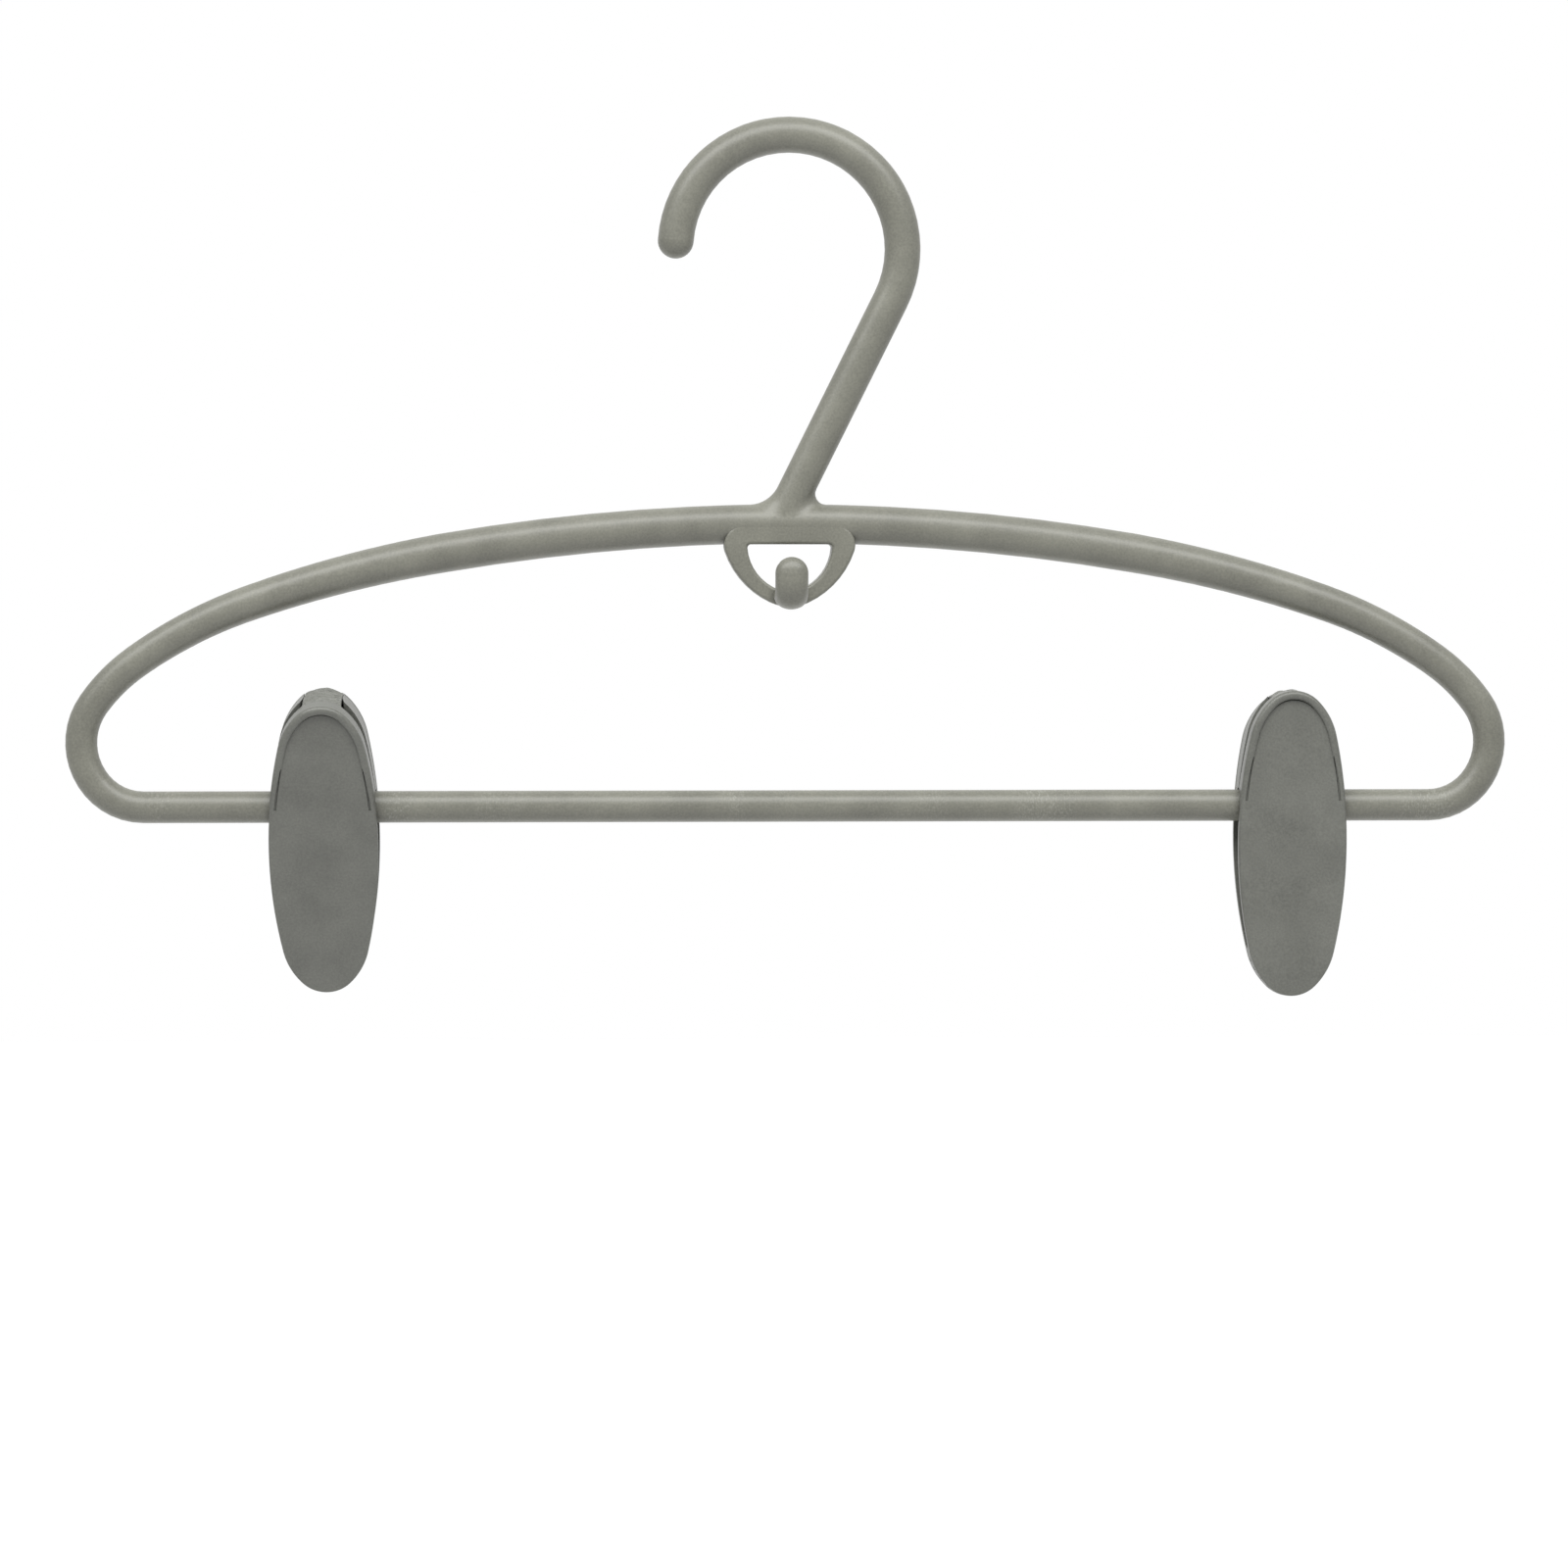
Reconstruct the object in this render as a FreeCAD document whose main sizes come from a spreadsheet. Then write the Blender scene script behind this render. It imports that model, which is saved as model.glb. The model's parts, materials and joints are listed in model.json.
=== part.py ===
import FreeCAD, Part
import Sketcher
import math
import os
from FreeCAD import Placement, Rotation, Vector

# Skirt hanger: moulded frame with a rail hook, a ring and a link hook, and two sprung clips on its bar.
# Origin at the rail seat inside the hook's crown, X along the bar, Z up, viewer on the -Y side.

doc = FreeCAD.newDocument("skirt_hanger")
dim = doc.addObject("Spreadsheet::Sheet", "dim")

# Share of a piece's own size within which two places count as one
SAME_PLACE_SHARE = 0.01
# Points on each turn of the spring at which its gap to itself is measured
POINTS_PER_TURN = 24

# Driving dimensions, lengths in millimetres and angles in degrees
DRIVING = {
    "hook_inner_radius": 20.5,
    "hook_rod_diameter": 7.7,
    "hook_tip_angle": 176,
    "neck_lean": 26.5,
    "crest_drop": 79.35,
    "crest_rod_diameter": 8.4,
    "end_rod_diameter": 6.8,
    "crest_radius": 443,
    "crest_turn": 9.6,
    "slope_radius": 254,
    "slope_turn": 9.8,
    "shoulder_radius": 97,
    "shoulder_turn": 16,
    "bend_radius": 39,
    "bend_turn": 19,
    "end_radius": 14.3,
    "end_turn": 75.3,
    "corner_radius": 12.9,
    "neck_fillet_wide": 7,
    "neck_fillet_tight": 2.3,
    "ring_half_width": 14.8,
    "ring_depth": 17.8,
    "ring_bottom_radius": 9.5,
    "ring_corner_radius": 4.5,
    "ring_thickness": 8.3,
    "ring_edge_radius": 0.7,
    "window_half_width": 9.1,
    "window_depth": 14.4,
    "window_bottom_radius": 7.8,
    "window_top_depth": 4.4,
    "window_corner_radius": 0.8,
    "link_width": 7,
    "link_thickness": 5,
    "link_throat": 7.85,
    "link_bend_radius": 4,
    "link_height": 11.2,
    "link_slope": 4,
    "link_sink": 0.5,
    "clip_top": 25,
    "clip_length": 65.9,
    "clip_width": 23.4,
    "clip_end_radius": 7.2,
    "clip_flank_radius": 15,
    "clip_flank_angle": 45,
    "face_distance": 5.85,
    "wedge_angle": 5.75,
    "gap_angle": 4,
    "seam_lean_angle": 7.25,
    "plate_thickness": 1.55,
    "wall_thickness": 1,
    "face_edge_radius": 0.4,
    "bead_radius": 0.95,
    "bead_height": 0.95,
    "bead_end_height": 2,
    "bead_overhang": 0.12,
    "groove_radius": 0.25,
    "groove_inset": 1.15,
    "groove_shift": 0.6,
    "bar_notch_clearance": 0.4,
    "running_clearance": 0.08,
    "sleeve_wall": 0.7,
    "sleeve_length": 16,
    "sleeve_mouth": 100,
    "knuckle_wall": 1.2,
    "knuckle_wrap": 115,
    "knuckle_width": 1.5,
    "front_knuckle_place": 4.2,
    "back_knuckle_place": 6.3,
    "liner_gap": 0.7,
    "liner_thickness": 1.1,
    "liner_overlap": 0.8,
    "liner_lean_angle": 7.5,
    "liner_foot": 5.2,
    "liner_notch_half": 5.6,
    "liner_notch_depth": 6.5,
    "grip_height": 10,
    "grip_clearance": 0.1,
    "grip_rib_pitch": 1.9,
    "grip_rib_depth": 0.55,
    "strap_width": 8.2,
    "strap_thickness": 1.25,
    "strap_side_gap": 0.12,
    "strap_seat_gap": 0.02,
    "strap_bend_reach": 3.2,
    "spring_height": 14.5,
    "spring_half_length": 5.45,
    "spring_mean_radius": 2.9,
    "spring_wire": 0.8,
    "spring_turns": 5,
    "spigot_radius": 1.9,
    "spigot_height": 2,
    "left_clip_place": -99.9,
    "left_clip_tilt": 12.5,
    "right_clip_place": 108.3,
    "right_clip_tilt": -4,
}

# Sizes worked out from the driving dimensions
DERIVED = {
    "hook_radius": "hook_inner_radius + hook_rod_diameter / 2",
    "hook_tip_x": "hook_radius * cos(hook_tip_angle)",
    "hook_tip_z": "hook_radius * sin(hook_tip_angle) - hook_inner_radius",
    "neck_top_x": "hook_radius * cos(neck_lean)",
    "neck_top_z": "-hook_inner_radius - hook_radius * sin(neck_lean)",
    "neck_foot_x": "neck_top_x - (neck_top_z + crest_drop) * tan(neck_lean)",
    "bar_radius": "end_rod_diameter / 2",
    "crest_end_x": "crest_radius * sin(crest_turn)",
    "slope_end_turn": "crest_turn + slope_turn",
    "shoulder_end_turn": "slope_end_turn + shoulder_turn",
    "bend_end_turn": "shoulder_end_turn + bend_turn",
    "end_end_turn": "bend_end_turn + end_turn",
    "slope_end_x": "crest_end_x + slope_radius * (sin(slope_end_turn) - sin(crest_turn))",
    "shoulder_end_x": "slope_end_x + shoulder_radius * (sin(shoulder_end_turn) - sin(slope_end_turn))",
    "bend_end_x": "shoulder_end_x + bend_radius * (sin(bend_end_turn) - sin(shoulder_end_turn))",
    "end_end_x": "bend_end_x + end_radius * (sin(end_end_turn) - sin(bend_end_turn))",
    "bar_half_length": "end_end_x - corner_radius * sin(end_end_turn)",
    "crest_end_z": "-crest_drop - crest_radius * (1 - cos(crest_turn))",
    "slope_end_z": "crest_end_z - slope_radius * (cos(crest_turn) - cos(slope_end_turn))",
    "shoulder_end_z": "slope_end_z - shoulder_radius * (cos(slope_end_turn) - cos(shoulder_end_turn))",
    "bend_end_z": "shoulder_end_z - bend_radius * (cos(shoulder_end_turn) - cos(bend_end_turn))",
    "end_end_z": "bend_end_z - end_radius * (cos(bend_end_turn) - cos(end_end_turn))",
    "bar_z": "end_end_z - corner_radius * (cos(end_end_turn) + 1)",
    "ring_rise": "ring_depth - ring_bottom_radius",
    "ring_side_radius": "(ring_half_width ^ 2 + ring_rise ^ 2 - ring_bottom_radius ^ 2)"
                        " / (2 * (ring_half_width - ring_bottom_radius))",
    "window_rise": "window_depth - window_bottom_radius - window_top_depth",
    "window_side_radius": "(window_half_width ^ 2 + window_rise ^ 2 - window_bottom_radius ^ 2)"
                          " / (2 * (window_half_width - window_bottom_radius))",
    "link_leg_z": "-crest_drop - ring_depth + link_thickness / 2 - link_sink",
    "link_upright_y": "-(ring_thickness / 2 + link_throat + link_thickness / 2)",
    "link_tip_z": "link_leg_z - link_thickness / 2 + link_height - link_width / 2",
    "link_bend_y": "link_upright_y + link_bend_radius * (1 + sin(link_slope))",
    "link_bend_z": "link_leg_z + link_bend_radius * (1 - cos(link_slope))",
    "link_root_y": "-ring_thickness / 4",
    "link_root_z": "link_bend_z + (link_root_y - link_bend_y) * tan(link_slope)",
    "clip_bottom": "clip_top - clip_length",
    "oval_middle": "(clip_top + clip_bottom) / 2",
    "oval_top_centre": "clip_top - clip_end_radius",
    "oval_bottom_centre": "clip_bottom + clip_end_radius",
    "oval_reach": "oval_top_centre - oval_middle",
    "flank_excess": "clip_flank_radius - clip_end_radius",
    "flank_across": "flank_excess * sin(clip_flank_angle)",
    "flank_reach": "oval_reach - flank_excess * cos(clip_flank_angle)",
    "flank_span": "clip_width / 2 + flank_across",
    "clip_low": "clip_bottom - plate_thickness",
    "clip_high": "clip_top + plate_thickness",
    "oval_side_radius": "(flank_span ^ 2 + flank_reach ^ 2 - clip_flank_radius ^ 2)"
                        " / (2 * (flank_span - clip_flank_radius))",
    "plate_inside": "face_distance - plate_thickness",
    "root_depth": "plate_thickness / 3",
    "back_edge_slope": "tan(wedge_angle + seam_lean_angle - gap_angle)",
    "front_edge_slope": "tan(wedge_angle - seam_lean_angle - gap_angle)",
    "jaw_pad_depth": "face_distance + clip_high * back_edge_slope",
    "grip_top": "clip_bottom + grip_height",
    "grip_groove_half": "grip_rib_pitch / 3",
    "middle_slope": "tan(wedge_angle)",
    "liner_slope": "tan(wedge_angle + liner_lean_angle)",
    "liner_outset": "wall_thickness + liner_gap",
    "liner_inset": "liner_outset + liner_thickness",
    "liner_reach": "plate_inside + clip_top * liner_slope + liner_overlap",
    "bead_inset": "bead_radius - bead_overhang",
    "bead_drop": "bead_height / (clip_top - bead_radius - bead_end_height)",
    "bead_plane": "face_distance - bead_radius - bead_end_height * bead_drop",
    "sleeve_inside": "bar_radius + running_clearance",
    "sleeve_outside": "sleeve_inside + sleeve_wall",
    "knuckle_inside": "sleeve_outside + running_clearance",
    "knuckle_outside": "knuckle_inside + knuckle_wall",
    "strap_bend_radius": "strap_bend_reach / sin(wedge_angle)",
    "strap_bend_z": "clip_top / cos(wedge_angle) - strap_bend_reach * tan(wedge_angle)",
    "strap_top": "strap_bend_z + strap_bend_radius * (1 - cos(wedge_angle))",
    "strap_seam_slope": "tan(gap_angle + seam_lean_angle)",
    "strap_front_y": "-clip_high * strap_seam_slope - strap_thickness",
    "strap_front_z": "strap_bend_z + (strap_front_y + strap_bend_reach) * tan(wedge_angle)",
    "strap_back_y": "(face_distance + bead_height) * cos(wedge_angle) + clip_top * sin(wedge_angle)",
    "strap_back_z": "strap_bend_z - (strap_back_y - strap_bend_reach) * tan(wedge_angle)",
    "strap_slot_radius": "clip_end_radius - strap_thickness - strap_seat_gap",
    "strap_slot_half": "strap_width / 2 + strap_side_gap",
    "spigot_z": "spring_height * cos(wedge_angle) + spring_half_length * sin(wedge_angle)",
}

for row, (name, value) in enumerate(list(DRIVING.items()) + list(DERIVED.items()), start=1):
    dim.set(f"A{row}", name)
    dim.set(f"B{row}", f"={value}" if name in DERIVED else str(value))
    dim.setAlias(f"B{row}", name)
doc.recompute()


def size(expression):
    """Value of an expression in the sheet's cells."""
    value = dim.evalExpression(expression)
    return float(getattr(value, "Value", value))


def bind(owner, place, expression):
    owner.setExpression(place, expression)


def new_body(name):
    body = doc.addObject("PartDesign::Body", name)
    body.Label = name
    return body


def origin_plane(body, role):
    return next(part for part in body.Origin.OriginFeatures if part.Role == role)


def new_sketch(body, name, plane, lift="0", spin=0):
    """Sketch on one of the body's own planes, lifted along its normal and spun about it."""
    sketch = body.newObject("Sketcher::SketchObject", name)
    sketch.AttachmentSupport = [(origin_plane(body, plane), "")]
    sketch.MapMode = "FlatFace"
    sketch.AttachmentOffset = Placement(Vector(0, 0, size(lift)), Rotation(Vector(0, 0, 1), spin))
    bind(sketch, "AttachmentOffset.Base.z", lift)
    return sketch


def sketch_across(body, name, path, across, up):
    """Sketch square to a path in the XZ plane, at the path's end that lies at the point given."""
    doc.recompute()
    place = Vector(size(across), 0, size(up))
    ends = [(edge.valueAt(edge.ParameterRange[end]).distanceToPoint(place), f"Edge{i + 1}", end)
            for i, edge in enumerate(path.Shape.Edges) for end in (0, 1)]
    gap, edge, end = min(ends)
    sketch = body.newObject("Sketcher::SketchObject", name)
    sketch.AttachmentSupport = [(path, edge)]
    sketch.MapMode = "NormalToEdge"
    sketch.MapPathParameter = end
    return sketch


def fix(sketch, kind, places, expression):
    """Dimension of a sketch, held to an expression."""
    number = sketch.addConstraint(Sketcher.Constraint(kind, *places, size(expression)))
    bind(sketch, f"Constraints[{number}]", expression)


def fix_point(sketch, geometry, end, across, up):
    fix(sketch, "DistanceX", (-1, 1, geometry, end), across)
    fix(sketch, "DistanceY", (-1, 1, geometry, end), up)


def join(sketch, first, second):
    sketch.addConstraint(Sketcher.Constraint("Coincident", first, 2, second, 1))


def smooth(sketch, first, first_end, second, second_end):
    sketch.addConstraint(Sketcher.Constraint("Tangent", first, first_end, second, second_end))


def add_line(sketch, start, end):
    return sketch.addGeometry(Part.LineSegment(Vector(*start, 0), Vector(*end, 0)), False)


def add_arc(sketch, centre, radius, start, end):
    """Arc from one angle to the next, in degrees, anticlockwise."""
    circle = Part.Circle(Vector(*centre, 0), Vector(0, 0, 1), radius)
    circle.AngleXU = math.radians(start)
    return sketch.addGeometry(Part.ArcOfCircle(circle, 0, math.radians(end - start)), False)


def add_circle(sketch, across, up, radius):
    centre = Vector(size(across), size(up), 0)
    circle = sketch.addGeometry(Part.Circle(centre, Vector(0, 0, 1), size(radius)), False)
    fix(sketch, "Radius", (circle,), radius)
    fix_point(sketch, circle, 3, across, up)
    return circle


def add_polygon(sketch, corners):
    """Closed outline through corners given as pairs of expressions."""
    points = [(size(across), size(up)) for across, up in corners]
    sides = [add_line(sketch, point, points[(i + 1) % len(points)]) for i, point in enumerate(points)]
    for i, side in enumerate(sides):
        join(sketch, side, sides[(i + 1) % len(sides)])
        fix_point(sketch, side, 1, *corners[i])


def finish(body, feature):
    body.Tip = feature
    doc.recompute()
    return feature


def pad(body, sketch, name, length, reverse=False, symmetric=False):
    feature = body.newObject("PartDesign::Pad", name)
    feature.Profile = sketch
    bind(feature, "Length", length)
    feature.Reversed = reverse
    feature.SideType = "Symmetric" if symmetric else "One side"
    return finish(body, feature)


def cut_through(body, sketch, name):
    """Cuts a profile through the whole body, both ways, and checks that something went."""
    before = body.Shape.Volume
    feature = body.newObject("PartDesign::Pocket", name)
    feature.Profile = sketch
    feature.Type = "ThroughAll"
    feature.SideType = "Symmetric"
    finish(body, feature)
    if body.Shape.Volume >= before:
        raise RuntimeError(f"{body.Label}: {name} cut nothing")
    return feature


def pipe(body, profile, path, name, sections=()):
    feature = body.newObject("PartDesign::AdditivePipe", name)
    feature.Profile = profile
    feature.Spine = (path, [f"Edge{i + 1}" for i in range(path.GeometryCount)])
    if sections:
        feature.Transformation = "Multisection"
        feature.Sections = [(section, "") for section in sections]
    return finish(body, feature)


def round_edges(body, feature, name, radius, chosen):
    """Rounds the edges of a feature that a test picks."""
    fillet = body.newObject("PartDesign::Fillet", name)
    edges = feature.Shape.Edges
    fillet.Base = (feature, [f"Edge{i + 1}" for i, edge in enumerate(edges) if chosen(edge)])
    bind(fillet, "Radius", radius)
    return finish(body, fillet)


# Frame


def add_drop(sketch, half_width, side_radius, bottom_radius, top, bottom):
    """Lower part of the ring's outline: right side arc, bottom arc, left side arc, from the height of top."""
    width, side, low = size(half_width), size(side_radius), size(bottom_radius)
    low_centre = size(bottom) + low
    lean = math.degrees(math.atan2(size(top) - low_centre, side - width))
    left = add_arc(sketch, (side - width, size(top)), side, 180, 180 + lean)
    base = add_arc(sketch, (0, low_centre), low, 180 + lean, 360 - lean)
    right = add_arc(sketch, (width - side, size(top)), side, 360 - lean, 360)
    smooth(sketch, left, 2, base, 1)
    smooth(sketch, base, 2, right, 1)
    fix(sketch, "Radius", (base,), bottom_radius)
    fix_point(sketch, base, 3, "0", f"{bottom} + {bottom_radius}")
    for arc, end, sign in ((left, 1, "-"), (right, 2, "")):
        fix(sketch, "Radius", (arc,), side_radius)
        fix_point(sketch, arc, end, f"{sign}{half_width}", top)
    return left, right


def ring_plate(body):
    """D-shaped plate under the crest, with its window, edges rounded."""
    sketch = new_sketch(body, "RingOutline", "XZ_Plane")
    top = "-dim.crest_drop"
    left, right = add_drop(sketch, "dim.ring_half_width", "dim.ring_side_radius", "dim.ring_bottom_radius",
                           top, f"{top} - dim.ring_depth")
    width = size("dim.ring_half_width")
    lid = add_line(sketch, (width, size(top)), (-width, size(top)))
    join(sketch, right, lid)
    join(sketch, lid, left)
    plate = pad(body, sketch, "RingPlate", "dim.ring_thickness", symmetric=True)
    window = new_sketch(body, "RingWindow", "XZ_Plane")
    sill = f"{top} - dim.window_top_depth"
    left, right = add_drop(window, "dim.window_half_width", "dim.window_side_radius", "dim.window_bottom_radius",
                           sill, f"{top} - dim.window_depth")
    width = size("dim.window_half_width")
    lid = add_line(window, (width, size(sill)), (-width, size(sill)))
    join(window, right, lid)
    join(window, lid, left)
    plate = cut_through(body, window, "RingOpening")

    def runs_through(edge):
        return abs(edge.BoundBox.YLength - size("dim.ring_thickness")) < SAME_PLACE_SHARE * width

    def is_corner(edge):
        middle = edge.CenterOfMass
        return runs_through(edge) and abs(middle.x) > width and middle.z > size(sill)

    def is_window_corner(edge):
        middle = edge.CenterOfMass
        slack = SAME_PLACE_SHARE * width
        return runs_through(edge) and abs(abs(middle.x) - width) < slack and abs(middle.z - size(sill)) < slack

    plate = round_edges(body, plate, "RingCorners", "dim.ring_corner_radius", is_corner)
    plate = round_edges(body, plate, "WindowCorners", "dim.window_corner_radius", is_window_corner)

    def is_rim(edge):
        box = edge.BoundBox
        return box.YLength < SAME_PLACE_SHARE * width and box.ZMin < size(sill)

    round_edges(body, plate, "RingEdges", "dim.ring_edge_radius", is_rim)


def crest_rod(body):
    path = new_sketch(body, "CrestPath", "XZ_Plane")
    radius = size("dim.crest_radius")
    turn = size("dim.crest_turn")
    arc = add_arc(path, (0, -size("dim.crest_drop") - radius), radius, 90 - turn, 90 + turn)
    fix(path, "Radius", (arc,), "dim.crest_radius")
    fix_point(path, arc, 3, "0", "-dim.crest_drop - dim.crest_radius")
    for end, sign in ((1, ""), (2, "-")):
        fix(path, "DistanceX", (-1, 1, arc, end), f"{sign}dim.crest_end_x")
    profile = sketch_across(body, "CrestProfile", path, "dim.crest_end_x", "dim.crest_end_z")
    add_circle(profile, "0", "0", "dim.crest_rod_diameter / 2")
    return pipe(body, profile, path, "Crest")


def shoulder_rod(body):
    """Right shoulder, three arcs, tapering from the crest's rod to the ends' rod."""
    path = new_sketch(body, "ShoulderPath", "XZ_Plane")
    x, z = size("dim.crest_end_x"), size("dim.crest_end_z")
    arcs = []
    turns = ["dim.crest_turn", "dim.slope_end_turn", "dim.shoulder_end_turn", "dim.bend_end_turn"]
    for i, name in enumerate(("slope", "shoulder", "bend")):
        radius = size(f"dim.{name}_radius")
        first, last = size(turns[i]), size(turns[i + 1])
        centre = (x - radius * math.sin(math.radians(first)), z - radius * math.cos(math.radians(first)))
        arcs.append(add_arc(path, centre, radius, 90 - last, 90 - first))
        fix(path, "Radius", (arcs[i],), f"dim.{name}_radius")
        fix_point(path, arcs[i], 1, f"dim.{name}_end_x", f"dim.{name}_end_z")
        x, z = size(f"dim.{name}_end_x"), size(f"dim.{name}_end_z")
    for upper, lower in zip(arcs, arcs[1:]):
        path.addConstraint(Sketcher.Constraint("Coincident", upper, 1, lower, 2))
    fix_point(path, arcs[0], 2, "dim.crest_end_x", "dim.crest_end_z")
    thick = sketch_across(body, "ShoulderStart", path, "dim.crest_end_x", "dim.crest_end_z")
    add_circle(thick, "0", "0", "dim.crest_rod_diameter / 2")
    thin = sketch_across(body, "ShoulderEnd", path, "dim.bend_end_x", "dim.bend_end_z")
    add_circle(thin, "0", "0", "dim.end_rod_diameter / 2")
    return pipe(body, thick, path, "Shoulder", [thin])


def mirror(body, feature, name):
    """Copy of a feature on the other side of the YZ plane."""
    copy = body.newObject("PartDesign::Mirrored", name)
    copy.Originals = [feature]
    copy.MirrorPlane = (origin_plane(body, "YZ_Plane"), [""])
    return finish(body, copy)


def end_and_bar_rod(body):
    """Both end bends and the bar between them, one rod from shoulder to shoulder."""
    path = new_sketch(body, "BarPath", "XZ_Plane")
    middle = [size(f"dim.{name}") for name in ("bar_half_length", "bar_z")]
    bar = add_line(path, (middle[0], middle[1]), (-middle[0], middle[1]))
    turns = [size(f"dim.{name}_end_turn") for name in ("bend", "end")] + [180]
    for sign, bar_end in ((1, 1), (-1, 2)):
        side = "" if sign > 0 else "-"
        x, z = sign * size("dim.bend_end_x"), size("dim.bend_end_z")
        arcs = []
        for i, name in enumerate(("end", "corner")):
            radius = size(f"dim.{name}_radius")
            lean = math.radians(turns[i])
            centre = (x - sign * radius * math.sin(lean), z - radius * math.cos(lean))
            span = (90 - turns[i + 1], 90 - turns[i]) if sign > 0 else (90 + turns[i], 90 + turns[i + 1])
            arcs.append(add_arc(path, centre, radius, *span))
            fix(path, "Radius", (arcs[i],), f"dim.{name}_radius")
            x, z = sign * size("dim.end_end_x"), size("dim.end_end_z")
        first, last = (2, 1) if sign > 0 else (1, 2)
        path.addConstraint(Sketcher.Constraint("Coincident", arcs[0], last, arcs[1], first))
        path.addConstraint(Sketcher.Constraint("Coincident", arcs[1], last, bar, bar_end))
        fix_point(path, arcs[0], first, f"{side}dim.bend_end_x", "dim.bend_end_z")
        fix_point(path, arcs[1], first, f"{side}dim.end_end_x", "dim.end_end_z")
        fix_point(path, bar, bar_end, f"{side}dim.bar_half_length", "dim.bar_z")
    profile = sketch_across(body, "BarProfile", path, "dim.bend_end_x", "dim.bend_end_z")
    add_circle(profile, "0", "0", "dim.bar_radius")
    return pipe(body, profile, path, "EndsAndBar")


def rail_hook(body):
    """Hook and neck, swept both ways from the crown, with a round tip."""
    profile = new_sketch(body, "HookProfile", "YZ_Plane")
    radius = size("dim.hook_rod_diameter / 2")
    halves = [add_arc(profile, (0, radius), radius, start, start + 180) for start in (90, 270)]
    fix(profile, "Radius", (halves[0],), "dim.hook_rod_diameter / 2")
    fix_point(profile, halves[0], 3, "0", "dim.hook_rod_diameter / 2")
    for end in (1, 2):
        fix(profile, "DistanceX", (-1, 1, halves[0], end), "0")
    join(profile, halves[0], halves[1])
    join(profile, halves[1], halves[0])
    fix(profile, "DistanceX", (-1, 1, halves[1], 3), "0")
    bend = size("dim.hook_radius")
    centre = (0, -size("dim.hook_inner_radius"))
    tip_path = new_sketch(body, "HookTipPath", "XZ_Plane")
    arc = add_arc(tip_path, centre, bend, 90, size("dim.hook_tip_angle"))
    fix_point(tip_path, arc, 3, "0", "-dim.hook_inner_radius")
    fix_point(tip_path, arc, 1, "0", "dim.hook_rod_diameter / 2")
    fix(tip_path, "DistanceY", (-1, 1, arc, 2), "dim.hook_tip_z")
    pipe(body, profile, tip_path, "HookEnd")
    neck_path = new_sketch(body, "NeckPath", "XZ_Plane")
    arc = add_arc(neck_path, centre, bend, -size("dim.neck_lean"), 90)
    top = (size("dim.neck_top_x"), size("dim.neck_top_z"))
    line = add_line(neck_path, top, (size("dim.neck_foot_x"), -size("dim.crest_drop")))
    neck_path.addConstraint(Sketcher.Constraint("Coincident", arc, 1, line, 1))
    fix_point(neck_path, arc, 3, "0", "-dim.hook_inner_radius")
    fix_point(neck_path, arc, 2, "0", "dim.hook_rod_diameter / 2")
    fix(neck_path, "DistanceX", (-1, 1, arc, 1), "dim.neck_top_x")
    fix_point(neck_path, line, 2, "dim.neck_foot_x", "-dim.crest_drop")
    pipe(body, profile, neck_path, "Neck")
    tip = body.newObject("PartDesign::AdditiveSphere", "HookTip")
    bind(tip, "Radius", "dim.hook_rod_diameter / 2")
    tip.Angle1 = 0
    place = Vector(size("dim.hook_tip_x"), 0, size("dim.hook_tip_z"))
    tip.Placement = Placement(place, Rotation(Vector(0, 1, 0), -size("dim.hook_tip_angle")))
    bind(tip, "Placement.Base.x", "dim.hook_tip_x")
    bind(tip, "Placement.Base.z", "dim.hook_tip_z")
    return finish(body, tip)


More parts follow.
